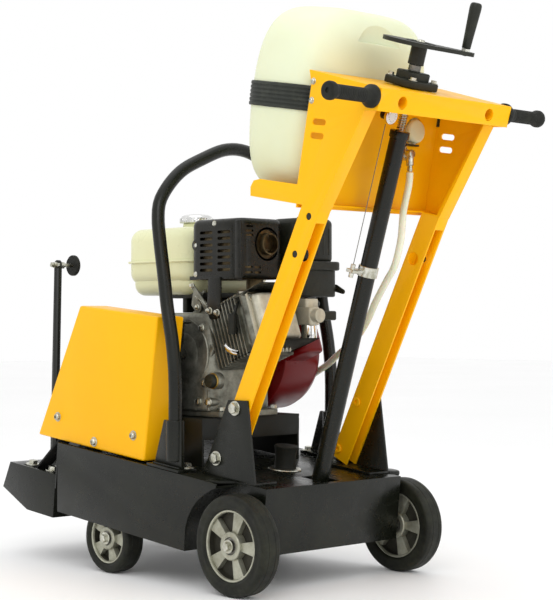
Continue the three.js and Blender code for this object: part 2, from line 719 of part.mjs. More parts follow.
// ---- assembly ----
put(chassis, 'chassis_frame', chassisFrame(), 'black');
put(chassis, 'nose_housing', noseHousing(), 'black');
put(chassis, 'front_axle', frontAxle(), 'steel');
put(chassis, 'belt_guard', beltGuard(), 'yellow');
put(chassis, 'belt_back_plate', beltBackPlate(), 'black');
put(chassis, 'drive_belt', driveBelt(), 'rubber');
put(chassis, 'blade_shaft', bladeShaft(), 'steel').position.set(cx(BLADE[0]), 0, cz(BLADE[1]));
put(chassis, 'blade_flange', bladeFlange(), 'darkSteel').position.set(cx(BLADE[0]), 0, cz(BLADE[1]));
put(chassis, 'pointer_arm', pointerArm(), 'black');
put(chassis, 'pointer_roller', pointerRoller(), 'rubber').position.set(cx(849.4), 0, cz(627));
put(chassis, 'pointer_wing_nut', wingNut(), 'steel').position.set(cx(849.4), 0, cz(627));
put(chassis, 'deck_buffer', union(
  rodZ(24, cx(136), -6, cz(252.3), cz(300), 18),
  rodZ(26, cx(136), -6, cz(298), cz(304), 18),
  rodZ(36, cx(136), -6, cz(252.3), cz(255), 18),
), 'rubber');

put(root, 'rear_axle', rearAxle(), 'darkSteel');
for (const [tag, s] of [['left', 1], ['right', -1]]) {
  addWheel(`rear_${tag}`, 0, s * REAR_TRACK / 2, REAR_WHEEL_R, REAR_WHEEL_R, REAR_RIM_R, 28);
  addWheel(`front_${tag}`, WHEELBASE, s * FRONT_TRACK / 2, FRONT_WHEEL_R, FRONT_WHEEL_R, FRONT_RIM_R, 26);
  put(root, `handle_bracket_${tag}`, handleBracket(s), 'black');
  put(root, `grip_${tag}`, grip(s), 'rubber');
}
put(root, 'engine_platform', enginePlatform(), 'black');
put(root, 'lifting_hoop', liftingHoop(), 'black');
put(root, 'handle_frame', handleFrame(), 'yellow');
tankPlace(put(root, 'water_tank', tankShell(), 'natural'));
tankPlace(put(root, 'tank_strap', tankStrap(), 'rubber'));

put(root, 'water_tank_cap', tankCap(), 'natural').position.set(...CAP);
put(root, 'water_tap', waterTap(), 'steel').position.set(...TAP);
put(root, 'tap_lever', tapLever(), 'plastic').position.set(...TAP);
put(root, 'water_hose', waterHose(), 'natural');

put(screwLine, 'nut_tube', nutTube(), 'black');
put(screwLine, 'depth_screw', depthScrew(), 'steel');
put(screwLine, 'crank_plate', crankPlate(), 'plastic');
put(screwLine, 'crank_grip', crankGrip(), 'plastic');
put(screwLine, 'spindle_bearing', spindleBearing(), 'darkSteel');
put(screwLine, 'depth_gauge', depthGauge(), 'steel');
put(screwLine, 'gauge_wire', gaugeWire(), 'steel');

const guard = new THREE.Group();
guard.position.set(cx(BLADE[0]), 0, cz(BLADE[1]));
chassis.add(guard);
put(guard, 'blade_guard', guardBody(), 'black');
put(guard, 'blade_guard_flap', guardShell(-14, 60.5, BLADE_GUARD_R), 'black');

put(engine, 'engine_block', engineBlock(), 'castAluminium');
put(engine, 'valve_cover', valveCover(), 'cream');
put(engine, 'fan_cover', fanCover(), 'red');
put(engine, 'fuel_tank', fuelTank(), 'cream');
put(engine, 'fuel_cap', fuelCap(), 'steel');
put(engine, 'muffler', muffler(), 'darkSteel');
put(engine, 'muffler_shield', mufflerShield(), 'black');
put(engine, 'air_cleaner', airCleaner(), 'plastic');
put(engine, 'carburetor', carburetor(), 'castAluminium');
put(engine, 'spark_plug_cap', sparkCap(), 'rubber');
put(engine, 'oil_filler_cap', oilCap(), 'plastic');
put(engine, 'crankshaft_pulley', crankshaftPulley(), 'darkSteel');
put(engine, 'throttle_lever', lever(-128, 164, -146, 52, 0.3), 'steel');
put(engine, 'choke_lever', lever(-160, 164, -146, 24, -1.3), 'plastic');
put(engine, 'fuel_valve_lever', lever(-190, 142, -146, 24, 3.5), 'plastic');
put(engine, 'recoil_handle', recoilHandle(), 'plastic');
put(engine, 'engine_switch', union(rodY(13, 62, 92, -200, -190, 12), block(58, 66, -207, -199, 80, 104)), 'plastic');

export default root;
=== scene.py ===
"""Walk-behind concrete saw: the finished look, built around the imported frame."""
import json
import math

import bmesh
import bpy
from mathutils import Matrix, Vector


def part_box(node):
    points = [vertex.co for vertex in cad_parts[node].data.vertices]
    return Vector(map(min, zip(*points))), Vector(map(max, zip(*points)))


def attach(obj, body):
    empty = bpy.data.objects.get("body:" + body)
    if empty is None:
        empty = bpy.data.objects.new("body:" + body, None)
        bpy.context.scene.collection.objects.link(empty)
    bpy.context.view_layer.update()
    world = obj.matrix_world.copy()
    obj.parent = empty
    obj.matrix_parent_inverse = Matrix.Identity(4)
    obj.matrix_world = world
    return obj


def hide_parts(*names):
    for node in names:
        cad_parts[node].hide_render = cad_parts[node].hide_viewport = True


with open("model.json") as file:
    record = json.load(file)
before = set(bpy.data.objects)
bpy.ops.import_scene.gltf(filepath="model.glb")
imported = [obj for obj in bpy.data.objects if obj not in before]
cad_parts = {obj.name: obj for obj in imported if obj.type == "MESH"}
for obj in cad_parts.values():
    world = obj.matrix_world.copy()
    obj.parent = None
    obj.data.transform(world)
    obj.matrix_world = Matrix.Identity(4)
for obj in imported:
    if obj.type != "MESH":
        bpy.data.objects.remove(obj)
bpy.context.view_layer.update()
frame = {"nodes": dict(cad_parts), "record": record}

NODES = frame["nodes"]
PI = math.pi

# ---- driving sizes, in millimetres ----
REAR_WHEEL_R = 100
REAR_RIM_R = 70.5
FRONT_WHEEL_R = 74
FRONT_RIM_R = 54.5
TYRE_WIDTH = 48
WHEELBASE = 411.3
NOSE_UP = math.radians(5.7)
DECK_TOP = 252
LEG_OUT = 190
HANDLE_TILT = math.radians(16.4)
SCREW_LEAN = math.radians(17.6)
TANK_TILT = math.radians(9.7)
CRANK = (303, 466)               # the engine's crankshaft, in x and z
BLADE = (700, 132)               # the blade spindle, in the chassis frame
GUARD_R = 205

# ---- local frames: each takes millimetres to the row frame's metres ----
MM = Matrix.Scale(0.001, 4)


def middle(node):
    low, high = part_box(node)
    return (Vector(low) + Vector(high)) / 2


REAR = middle("rear_left_tyre")
FRONT = middle("front_left_tyre")
FLOOR = Matrix.Translation((REAR.x, 0, 0)) @ MM
CHASSIS = (
    Matrix.Translation((FRONT.x, 0, FRONT.z)) @ Matrix.Rotation(-NOSE_UP, 4, "Y") @ MM
    @ Matrix.Translation((-WHEELBASE, 0, -FRONT_WHEEL_R))
)
ENGINE = FLOOR @ Matrix.Translation((CRANK[0], 0, CRANK[1]))
CYLINDER = ENGINE @ Matrix.Rotation(math.radians(20), 4, "Y")
SCREW = FLOOR @ Matrix.Translation((-212, 0, 910)) @ Matrix.Rotation(-SCREW_LEAN, 4, "Y")
TANK = FLOOR @ Matrix.Translation((-40, 0, 971)) @ Matrix.Rotation(-TANK_TILT, 4, "Y")
BEAM = FLOOR @ Matrix.Translation((-338, 0, 962.6)) @ Matrix.Rotation(-HANDLE_TILT, 4, "Y")
GUARD = CHASSIS @ Matrix.Translation((BLADE[0], 0, BLADE[1]))


# ---- shader maths ----
class Value:
    """A node output that takes part in Python arithmetic."""

    def __init__(self, finish, socket):
        self.finish = finish
        self.socket = socket

    def maths(self, operation, a, b):
        return self.finish.node("ShaderNodeMath", {"operation": operation}, {0: a, 1: b})

    def __add__(self, other):
        return self.maths("ADD", self, other)

    def __radd__(self, other):
        return self.maths("ADD", other, self)

    def __sub__(self, other):
        return self.maths("SUBTRACT", self, other)

    def __rsub__(self, other):
        return self.maths("SUBTRACT", other, self)

    def __mul__(self, other):
        return self.maths("MULTIPLY", self, other)

    def __rmul__(self, other):
        return self.maths("MULTIPLY", other, self)

    def __truediv__(self, other):
        return self.maths("DIVIDE", self, other)

    def __pow__(self, other):
        return self.maths("POWER", self, other)

    def within(self, low, high, start=0.0, end=1.0):
        """Maps low..high onto start..end and holds it there."""
        inputs = {"Value": self, "From Min": low, "From Max": high, "To Min": start, "To Max": end}
        return self.finish.node("ShaderNodeMapRange", {"clamp": True}, inputs)


class Finish:
    """One procedural material on Object coordinates, in metres."""

    def __init__(self, name, **constants):
        self.material = bpy.data.materials.new(name)
        self.material.use_nodes = True
        self.tree = self.material.node_tree
        self.shader = self.tree.nodes["Principled BSDF"]
        self.place = self.node("ShaderNodeTexCoord", output="Object")
        for key, value in constants.items():
            self.shader.inputs[key.replace("_", " ").title().replace("Ior", "IOR")].default_value = value

    def node(self, kind, settings=None, inputs=None, output=0):
        made = self.tree.nodes.new(kind)
        for key, value in (settings or {}).items():
            if key == "stops":
                ramp = made.color_ramp.elements
                while len(ramp) < len(value):
                    ramp.new(0.5)
                for stop, (place, colour) in zip(ramp, value):
                    stop.position = place
                    stop.color = colour
            else:
                setattr(made, key, value)
        for key, value in (inputs or {}).items():
            if isinstance(value, Value):
                self.tree.links.new(value.socket, made.inputs[key])
            else:
                made.inputs[key].default_value = value
        return Value(self, made.outputs[output])

    def noise(self, scale, detail=3.0, rough=0.55, stretch=None, distortion=0.0):
        vector = self.place
        if stretch:
            vector = self.node("ShaderNodeMapping", None, {"Vector": vector, "Scale": stretch})
        inputs = {"Vector": vector, "Scale": scale, "Detail": detail, "Roughness": rough}
        inputs["Distortion"] = distortion
        return self.node("ShaderNodeTexNoise", None, inputs)

    def height(self):
        return self.along(2)

    def along(self, axis):
        return self.node("ShaderNodeSeparateXYZ", None, {0: self.place}, output=axis)

    def blend(self, factor, a, b):
        settings = {"data_type": "RGBA"}
        return self.node("ShaderNodeMix", settings, {0: factor, 6: a, 7: b}, output=2)

    def colour(self, value):
        self.join(value, "Base Color")

    def join(self, value, socket):
        if isinstance(value, Value):
            self.tree.links.new(value.socket, self.shader.inputs[socket])
        else:
            self.shader.inputs[socket].default_value = value

    def bump(self, height, strength, distance):
        inputs = {"Height": height, "Strength": strength, "Distance": distance}
        self.join(self.node("ShaderNodeBump", None, inputs), "Normal")


def rgb(red, green, blue):
    """A display colour, 0 to 255, as linear light."""
    def linear(c):
        c /= 255
        return c / 12.92 if c <= 0.04045 else ((c + 0.055) / 1.055) ** 2.4
    return (linear(red), linear(green), linear(blue), 1.0)


def powder_coat(name, colour, worn, rough, grain=420, bump=0.12, shine=0.4):
    """Baked powder paint: a fine orange peel, uneven gloss and a little handling dust."""
    f = Finish(name, specular_ior_level=shine)
    cloud = f.noise(5.0, 5, 0.6).within(0.35, 0.75)
    specks = f.noise(160.0, 2, 0.5).within(0.62, 0.74)
    f.colour(f.blend(cloud * 0.35 + specks * 0.12, colour, worn))
    f.join(f.noise(24.0, 4, 0.6).within(0.3, 0.7, rough - 0.06, rough + 0.09), "Roughness")
    f.bump(f.noise(grain, 2, 0.4), bump, 0.0006)
    return f.material


def black_paint(name, rough=0.26):
    """Gloss black paint with pale site dust settled low down and in the hollows."""
    f = Finish(name, specular_ior_level=0.3)
    low = f.height().within(0.02, 0.34, 1.0, 0.0)
    dust = f.noise(9.0, 6, 0.65).within(0.45, 0.8) * (0.08 + low * 0.2)
    fine = f.noise(230.0, 3, 0.6).within(0.5, 0.8) * 0.08
    f.colour(f.blend(dust + fine, rgb(15, 17, 11), rgb(62, 64, 48)))
    f.join(f.noise(30.0, 4, 0.6).within(0.3, 0.7, rough - 0.06, rough + 0.1) + dust * 0.35, "Roughness")
    f.bump(f.noise(380.0, 2, 0.4) + f.noise(60.0, 3, 0.5) * 0.4, 0.1, 0.0005)
    return f.material


def plated(name, light, dark, rough=0.28):
    """Zinc plate: bright, slightly cloudy and faintly yellow."""
    f = Finish(name, metallic=1.0)
    cloud = f.noise(60.0, 4, 0.6, distortion=0.6)
    f.colour(f.blend(cloud.within(0.35, 0.7), light, dark))
    f.join(f.noise(180.0, 3, 0.6).within(0.3, 0.7, rough - 0.07, rough + 0.12), "Roughness")
    f.bump(f.noise(700.0, 2, 0.5), 0.08, 0.0003)
    return f.material


def casting(name, light, dark, rough=0.5, metallic=0.75):
    """Sand or die casting: a pebbled skin with darker oil-stained hollows."""
    f = Finish(name, metallic=metallic)
    stain = f.noise(22.0, 6, 0.7).within(0.38, 0.72)
    skin = f.noise(420.0, 3, 0.6)
    f.colour(f.blend(stain, light, dark))
    f.join(skin.within(0.3, 0.7, rough - 0.1, rough + 0.15), "Roughness")
    f.bump(skin + f.noise(120.0, 2, 0.5) * 0.6, 0.35, 0.0006)
    return f.material


def moulded(name, colour, pale, rough=0.5, grain=900, bump=0.25):
    """Moulded black plastic or rubber with a fine spark-eroded grain."""
    f = Finish(name, specular_ior_level=0.3)
    scuff = f.noise(40.0, 5, 0.7).within(0.5, 0.8)
    f.colour(f.blend(scuff * 0.6, colour, pale))
    f.join(f.noise(90.0, 4, 0.6).within(0.3, 0.7, rough - 0.08, rough + 0.12), "Roughness")
    f.bump(f.noise(grain, 2, 0.5), bump, 0.0004)
    return f.material


def tyre_rubber():
    """Solid black rubber, greyed by dust on the tread and dull on the walls."""
    f = Finish("wheel_rubber", specular_ior_level=0.25)
    dust = f.noise(26.0, 6, 0.7).within(0.4, 0.75)
    fine = f.noise(300.0, 3, 0.6).within(0.45, 0.75)
    f.colour(f.blend(dust * 0.4 + fine * 0.15, rgb(15, 16, 10), rgb(56, 58, 42)))
    f.join(f.noise(50.0, 4, 0.6).within(0.3, 0.7, 0.42, 0.66), "Roughness")
    f.bump(f.noise(650.0, 3, 0.6) + f.noise(90.0, 3, 0.5) * 0.5, 0.25, 0.0005)
    return f.material


def milky_plastic():
    """Natural polyethylene: translucent, waxy and gently uneven from rotary moulding, with painted shade
    darkening it towards the bottom.
    """
    f = Finish("natural_polyethylene", subsurface_weight=0.25, subsurface_scale=0.02,
        specular_ior_level=0.25)
    f.shader.inputs["Subsurface Radius"].default_value = (1.0, 0.9, 0.6)
    cloud = f.noise(4.0, 4, 0.6).within(0.3, 0.75)
    # darker and yellower towards the bottom of the tank: painted shade
    low = f.height().within(0.8, 1.12, 1.0, 0.0)
    moulded_tone_and_painted_shade = f.blend(cloud * 0.5 + low * 0.45, rgb(226, 232, 202), rgb(214, 214, 174))
    f.colour(f.blend(f.noise(75.0, 3, 0.6).within(0.62, 0.8) * 0.12, moulded_tone_and_painted_shade, rgb(214, 210, 178)))
    f.join(f.noise(14.0, 4, 0.6).within(0.3, 0.7, 0.36, 0.52), "Roughness")
    f.bump(f.noise(9.0, 3, 0.5) + f.noise(420.0, 2, 0.5) * 0.04, 0.28, 0.006)
    return f.material


def hot_steel():
    """Muffler steel, browned and blued by heat."""
    f = Finish("heat_browned_steel", metallic=0.9)
    heat = f.noise(28.0, 5, 0.65, distortion=0.8).within(0.3, 0.75)
    tint = f.blend(heat, rgb(104, 92, 66), rgb(48, 34, 20))
    f.colour(f.blend(f.noise(90.0, 4, 0.6).within(0.6, 0.75), tint, rgb(140, 134, 116)))
    f.join(f.noise(70.0, 4, 0.6).within(0.3, 0.7, 0.3, 0.55), "Roughness")
    f.bump(f.noise(260.0, 3, 0.6), 0.2, 0.0005)
    return f.material


def gauge_face():
    """White dial with a ring of short black marks and two rings."""
    f = Finish("dial_face", roughness=0.3)
    centre = SCREW @ Vector((0, 46, 27))
    turned = f.node("ShaderNodeMapping", {"vector_type": "TEXTURE"}, {
        "Vector": f.place, "Location": centre, "Rotation": (0, -SCREW_LEAN, 0)})
    parts = [f.node("ShaderNodeSeparateXYZ", None, {0: turned}, output=i) for i in range(3)]
    angle = parts[1].maths("ARCTAN2", parts[1], parts[2])
    ticks = (angle * 12.0).maths("SINE", angle * 12.0, 0.0).within(0.75, 0.85)
    radius = (parts[1] * parts[1] + parts[2] * parts[2]) ** 0.5
    ring = radius.within(0.0082, 0.0086) * radius.within(0.0104, 0.0108, 1.0, 0.0)
    f.colour(f.blend(ticks * ring * 0.85, rgb(228, 228, 218), rgb(28, 28, 28)))
    return f.material


YELLOW = powder_coat("yellow_powder_coat", rgb(252, 186, 0), rgb(242, 168, 0), 0.36, shine=0.2)
BLACK = black_paint("black_gloss_paint")
BLACK_SATIN = black_paint("black_satin_paint", 0.4)
CREAM = powder_coat("cream_tank_enamel", rgb(226, 228, 186), rgb(206, 200, 150), 0.3, 300, 0.06)
RED = powder_coat("dark_red_enamel", rgb(112, 2, 4), rgb(80, 0, 2), 0.32, 300, 0.08, 0.25)
ZINC = plated("zinc_plate", rgb(214, 214, 204), rgb(160, 158, 140))
CHROME = plated("bright_chrome", rgb(232, 232, 230), rgb(206, 206, 204), 0.12)
STEEL = plated("oiled_steel", rgb(132, 130, 124), rgb(84, 82, 74), 0.38)
DARK_STEEL = casting("blackened_steel", rgb(62, 62, 54), rgb(30, 30, 26), 0.45, 0.5)
ALLOY = casting("engine_alloy", rgb(150, 150, 138), rgb(74, 73, 64), 0.46, 0.8)
PALE_ALLOY = casting("pale_cover_alloy", rgb(206, 204, 188), rgb(160, 156, 136), 0.42, 0.35)
RIM_ALLOY = casting("wheel_alloy", rgb(178, 178, 162), rgb(126, 124, 106), 0.42, 0.7)
# dark copy of the wheel alloy: painted shade for the deep rim pockets
RIM_POCKET_PAINTED_SHADE = casting("wheel_recess_painted_shade", rgb(58, 56, 46), rgb(32, 31, 25), 0.6, 0.4)
PLASTIC = moulded("black_moulded_plastic", rgb(30, 32, 24), rgb(52, 54, 42), 0.44)
RUBBER = moulded("black_grip_rubber", rgb(20, 21, 15), rgb(44, 46, 34), 0.6, 500, 0.4)
SHIELD_PAINT = moulded("heat_shield_paint", rgb(20, 20, 14), rgb(44, 41, 30), 0.3, 600, 0.15)
BELT = moulded("belt_rubber", rgb(24, 24, 23), rgb(46, 46, 42), 0.7)
TYRE = tyre_rubber()
POLY = milky_plastic()
HOT = hot_steel()
DIAL = gauge_face()
BRASS = plated("dull_brass", rgb(190, 158, 84), rgb(132, 104, 52), 0.36)


# ---- mesh helpers: each returns a bmesh in local millimetres ----
TURN = {"Z": Matrix(), "Y": Matrix.Rotation(-PI / 2, 4, "X"), "X": Matrix.Rotation(PI / 2, 4, "Y")}


def moved(bm, matrix):
    bmesh.ops.transform(bm, matrix=matrix, verts=bm.verts)
    return bm


def at(bm, x, y, z):
    return moved(bm, Matrix.Translation((x, y, z)))


def lathe(profile, axis="Y", segments=64):
    """Turns [(radius, along), ...] about an axis. Ends on the axis close as poles, others as a ring."""
    bm = bmesh.new()
    rings = []
    for radius, along in profile:
        if radius < 1e-6:
            rings.append([bm.verts.new((0, 0, along))] * segments)
            continue
        rings.append([bm.verts.new((u, v, along)) for u, v in circle(radius, segments)])
    closed = profile[0][0] > 1e-6
    for k in range(len(rings) if closed else len(rings) - 1):
        one, two = rings[k], rings[(k + 1) % len(rings)]
        for i in range(segments):
            j = (i + 1) % segments
            corners = list(dict.fromkeys([one[i], one[j], two[j], two[i]]))
            if len(corners) > 2:
                bm.faces.new(corners)
    return moved(bm, TURN[axis])


def rod(radius, start, end, axis="Y", soft=0.8, segments=48):
    """A round bar with softened ends."""
    return lathe([
        (0, start), (radius - soft, start), (radius - soft * 0.3, start + soft * 0.3),
        (radius, start + soft),
        (radius, end - soft), (radius - soft * 0.3, end - soft * 0.3), (radius - soft, end), (0, end),
    ], axis, segments)


def ring(inner, outer, start, end, axis="Y", soft=0.6, segments=48):
    return lathe([
        (inner, start), (outer - soft, start), (outer, start + soft), (outer, end - soft),
        (outer - soft, end), (inner, end),
    ], axis, segments)


def prism(points, low, high, axis="Y"):
    """Pulls an outline straight: x and z along Y, x and y along Z, or y and z along X."""
    def put(u, v, w):
        return {"Y": (u, w, v), "Z": (u, v, w), "X": (w, u, v)}[axis]
    bm = bmesh.new()
    first = [bm.verts.new(put(u, v, low)) for u, v in points]
    last = [bm.verts.new(put(u, v, high)) for u, v in points]
    bm.faces.new(first)
    bm.faces.new(last[::-1])
    for i in range(len(points)):
        j = (i + 1) % len(points)
        bm.faces.new([first[i], last[i], last[j], first[j]])
    return bm


def rounded(points, radii, steps=6):
    """Rounds an outline's corners. radii is one number, or one for each corner."""
    out = []
    for i, corner in enumerate(points):
        radius = radii[i] if isinstance(radii, (list, tuple)) else radii
        here = Vector(corner)
        back = Vector(points[i - 1]) - here
        on = Vector(points[(i + 1) % len(points)]) - here
        if radius < 1e-3:
            out.append(tuple(here))
            continue
        half = back.angle(on) / 2
        reach = min(radius / math.tan(half), back.length * 0.49, on.length * 0.49)
        radius = reach * math.tan(half)
        centre = here + (back.normalized() + on.normalized()).normalized() * (radius / math.sin(half))
        one = here + back.normalized() * reach - centre
        two = here + on.normalized() * reach - centre
        sweep = one.angle_signed(two)
        for k in range(steps + 1):
            spun = one.copy()
            spun.rotate(Matrix.Rotation(-sweep * k / steps, 2))
            out.append(tuple(centre + spun))
    return out


def box(x0, x1, y0, y1, z0, z1, radius=2.0, steps=3, only=None):
    """A block with rounded edges; only="Z" rounds the upright edges alone."""
    bm = prism([(x0, y0), (x1, y0), (x1, y1), (x0, y1)], z0, z1, "Z")
    edges = list(bm.edges)
    if only:
        index = "XYZ".index(only)
        def runs(e):
            line = (e.verts[0].co - e.verts[1].co).normalized()
            return abs(line[index]) > 0.9
        edges = [e for e in edges if runs(e)]
    if radius > 0:
        bmesh.ops.bevel(bm, geom=edges, offset=radius, segments=steps, profile=0.5, affect="EDGES")
    return bm


def crowned(x0, x1, y0, y1, z0, z1, upright, edge, steps=5):
    """A pressed or moulded box: large upright corners and softer top and bottom edges."""
    bm = box(x0, x1, y0, y1, z0, z1, upright, steps + 2, "Z")
    edges = [e for e in bm.edges if abs(e.verts[0].co.z - e.verts[1].co.z) < 1e-4]
    bmesh.ops.bevel(bm, geom=edges, offset=edge, segments=steps, profile=0.5, affect="EDGES")
    return bm


def smooth_path(points, count):
    """Points evenly along a centripetal Catmull-Rom curve through the given points."""
    p = [Vector(q) for q in points]
    p = [p[0] * 2 - p[1]] + p + [p[-1] * 2 - p[-2]]
    dense = []
    for a, b, c, d in zip(p, p[1:], p[2:], p[3:]):
        t1 = (b - a).length ** 0.5
        t2 = t1 + (c - b).length ** 0.5
        t3 = t2 + (d - c).length ** 0.5
        for k in range(24):
            t = t1 + (t2 - t1) * k / 24
            a1 = a * ((t1 - t) / t1) + b * (t / t1)
            a2 = b * ((t2 - t) / (t2 - t1)) + c * ((t - t1) / (t2 - t1))
            a3 = c * ((t3 - t) / (t3 - t2)) + d * ((t - t2) / (t3 - t2))
            b1 = a1 * ((t2 - t) / t2) + a2 * (t / t2)
            b2 = a2 * ((t3 - t) / (t3 - t1)) + a3 * ((t - t1) / (t3 - t1))
            dense.append(b1 * ((t2 - t) / (t2 - t1)) + b2 * ((t - t1) / (t2 - t1)))
    dense.append(p[-2].copy())
    lengths = [0.0]
    for one, two in zip(dense, dense[1:]):
        lengths.append(lengths[-1] + (two - one).length)
    out, k = [], 0
    for i in range(count + 1):
        goal = lengths[-1] * i / count
        while k < len(dense) - 2 and lengths[k + 1] < goal:
            k += 1
        span = lengths[k + 1] - lengths[k] or 1.0
        out.append(dense[k].lerp(dense[k + 1], min(1.0, (goal - lengths[k]) / span)))
    return out


def circle(radius, count):
    turn = [2 * PI * i / count for i in range(count)]
    return [(radius * math.cos(a), radius * math.sin(a)) for a in turn]


def sweep(path, section):
    """Carries a closed section, [(u, v), ...] or a radius, along a path without twisting it."""
    if not isinstance(section, (list, tuple)):
        section = circle(section, 20)
    bm = bmesh.new()
    rings = []
    path = [Vector(p) for p in path]
    heading = (path[1] - path[0]).normalized()
    side = heading.orthogonal().normalized()
    for i, point in enumerate(path):
        ahead = path[min(i + 1, len(path) - 1)] - path[max(i - 1, 0)]
        turn = heading.rotation_difference(ahead.normalized())
        heading = ahead.normalized()
        side = (turn @ side).normalized()
        up = heading.cross(side)
        rings.append([bm.verts.new(point + side * u + up * v) for u, v in section])
    for one, two in zip(rings, rings[1:]):
        for i in range(len(section)):
            j = (i + 1) % len(section)
            bm.faces.new([one[i], one[j], two[j], two[i]])
    bm.faces.new(rings[0][::-1])
    bm.faces.new(rings[-1])
    return bm


def pill(x0, z0, r0, x1, z1, r1, steps=14):
    """The outline of two circles and their outer tangents."""
    along = math.atan2(z1 - z0, x1 - x0)
    lean = math.acos((r0 - r1) / math.hypot(x1 - x0, z1 - z0))
    out = []
    for i in range(steps + 1):
        a = along + lean + (2 * PI - 2 * lean) * i / steps
        out.append((x0 + r0 * math.cos(a), z0 + r0 * math.sin(a)))
    for i in range(steps + 1):
        a = along - lean + 2 * lean * i / steps
        out.append((x1 + r1 * math.cos(a), z1 + r1 * math.sin(a)))
    return out


def join(*shapes):
    whole = bmesh.new()
    for bm in shapes:
        mesh = bpy.data.meshes.new("part")
        bm.to_mesh(mesh)
        bm.free()
        whole.from_mesh(mesh)
        bpy.data.meshes.remove(mesh)
    return whole


def copied(node):
    """A merged copy of a CAD node's mesh with its flat faces whole, in metres."""
    bm = bmesh.new()
    bm.from_mesh(NODES[node].data)
    bmesh.ops.remove_doubles(bm, verts=bm.verts, dist=2e-6)
    bmesh.ops.dissolve_limit(bm, angle_limit=math.radians(0.8), verts=bm.verts, edges=bm.edges)
    return bm


# ---- making objects ----
def object_from(name, bm):
    bmesh.ops.recalc_face_normals(bm, faces=bm.faces)
    mesh = bpy.data.meshes.new(name)
    bm.to_mesh(mesh)
    bm.free()
    thing = bpy.data.objects.new(name, mesh)
    bpy.context.scene.collection.objects.link(thing)
    return thing


def settle(thing):
    """Applies the modifiers into a plain mesh."""
    depsgraph = bpy.context.evaluated_depsgraph_get()
    mesh = bpy.data.meshes.new_from_object(thing.evaluated_get(depsgraph))
    thing.modifiers.clear()
    old = thing.data
    thing.data = mesh
    bpy.data.meshes.remove(old)


def carve(bm, *cutters):
    """Cuts closed shapes out of a closed shape."""
    thing = object_from("carved", bm)
    tool = object_from("cutter", join(*cutters))
    made = thing.modifiers.new("cut", "BOOLEAN")
    made.operation = "DIFFERENCE"
    made.solver = "EXACT"
    made.object = tool
    made.use_self = True
    settle(thing)
    out = bmesh.new()
    out.from_mesh(thing.data)
    bmesh.ops.remove_doubles(out, verts=out.verts, dist=1e-7)
    for used in (thing, tool):
        mesh = used.data
        bpy.data.objects.remove(used)
        bpy.data.meshes.remove(mesh)
    return out


def piece(name, bm, place, finish, body, hides=(), bevel=0.0, steps=2, sharp=40):
    """Finishes a piece: places it, softens its edges, paints it and hangs it on its body."""
    if place is not None:
        moved(bm, place)
    thing = object_from(name, bm)
    if bevel:
        soft = thing.modifiers.new("soft", "BEVEL")
        soft.width = bevel * 0.001
        soft.segments = steps
        soft.limit_method = "ANGLE"
        soft.angle_limit = math.radians(28)
        soft.use_clamp_overlap = True
        settle(thing)
    thing.data.materials.clear()
    thing.data.materials.append(finish)
    thing.data.shade_smooth()
    thing.data.set_sharp_from_angle(angle=math.radians(sharp))
    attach(thing, body)
    if hides:
        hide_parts(*([hides] if isinstance(hides, str) else hides))
    return thing


OWNER = {node: body for body, nodes in frame["record"]["behaviour"]["bodies"].items() for node in nodes}


def edged(node, finish, bevel=1.2, cuts=(), steps=2):
    """The CAD node's own shape with its edges softened."""
    bm = copied(node)
    if cuts:
        bm = carve(bm, *cuts)
    return piece(f"{node}_body", bm, None, finish, OWNER[node], node, bevel=bevel, steps=steps)


# ---- repeated pieces: one small shape copied onto marked seats ----
def copying_tree():
    """Copies the Shape object onto points, turned to face each point's own direction."""
    tree = bpy.data.node_groups.new("copies_on_seats", "GeometryNodeTree")
    sockets = tree.interface
    sockets.new_socket("Seats", in_out="INPUT", socket_type="NodeSocketGeometry")
    sockets.new_socket("Shape", in_out="INPUT", socket_type="NodeSocketObject")
    sockets.new_socket("Finish", in_out="INPUT", socket_type="NodeSocketMaterial")
    sockets.new_socket("Loose Turn", in_out="INPUT", socket_type="NodeSocketFloat")
    sockets.new_socket("Copies", in_out="OUTPUT", socket_type="NodeSocketGeometry")

    def add(kind, **settings):
        made = tree.nodes.new(kind)
        for key, value in settings.items():
            setattr(made, key, value)
        return made

    link = tree.links.new
    start = add("NodeGroupInput")
    facing = add("GeometryNodeInputNamedAttribute", data_type="FLOAT_VECTOR")
    facing.inputs["Name"].default_value = "facing"
    turn = add("FunctionNodeAlignRotationToVector", axis="Z")
    link(facing.outputs["Attribute"], turn.inputs["Vector"])
    spin = add("FunctionNodeRandomValue", data_type="FLOAT")
    spin.inputs["Seed"].default_value = 7
    link(start.outputs["Loose Turn"], spin.inputs[3])
    about = add("ShaderNodeCombineXYZ")
    link(spin.outputs[1], about.inputs["Z"])
    both = add("FunctionNodeRotateRotation", rotation_space="LOCAL")
    link(turn.outputs[0], both.inputs[0])
    link(about.outputs[0], both.inputs[1])
    shape = add("GeometryNodeObjectInfo", transform_space="ORIGINAL")
    link(start.outputs["Shape"], shape.inputs["Object"])
    spread = add("GeometryNodeInstanceOnPoints")
    link(start.outputs["Seats"], spread.inputs["Points"])
    link(shape.outputs["Geometry"], spread.inputs["Instance"])
    link(both.outputs[0], spread.inputs["Rotation"])
    real = add("GeometryNodeRealizeInstances")
    link(spread.outputs[0], real.inputs[0])
    paint = add("GeometryNodeSetMaterial")
    link(real.outputs[0], paint.inputs["Geometry"])
    link(start.outputs["Finish"], paint.inputs["Material"])
    end = add("NodeGroupOutput")
    link(paint.outputs[0], end.inputs[0])
    return tree


COPIES = copying_tree()


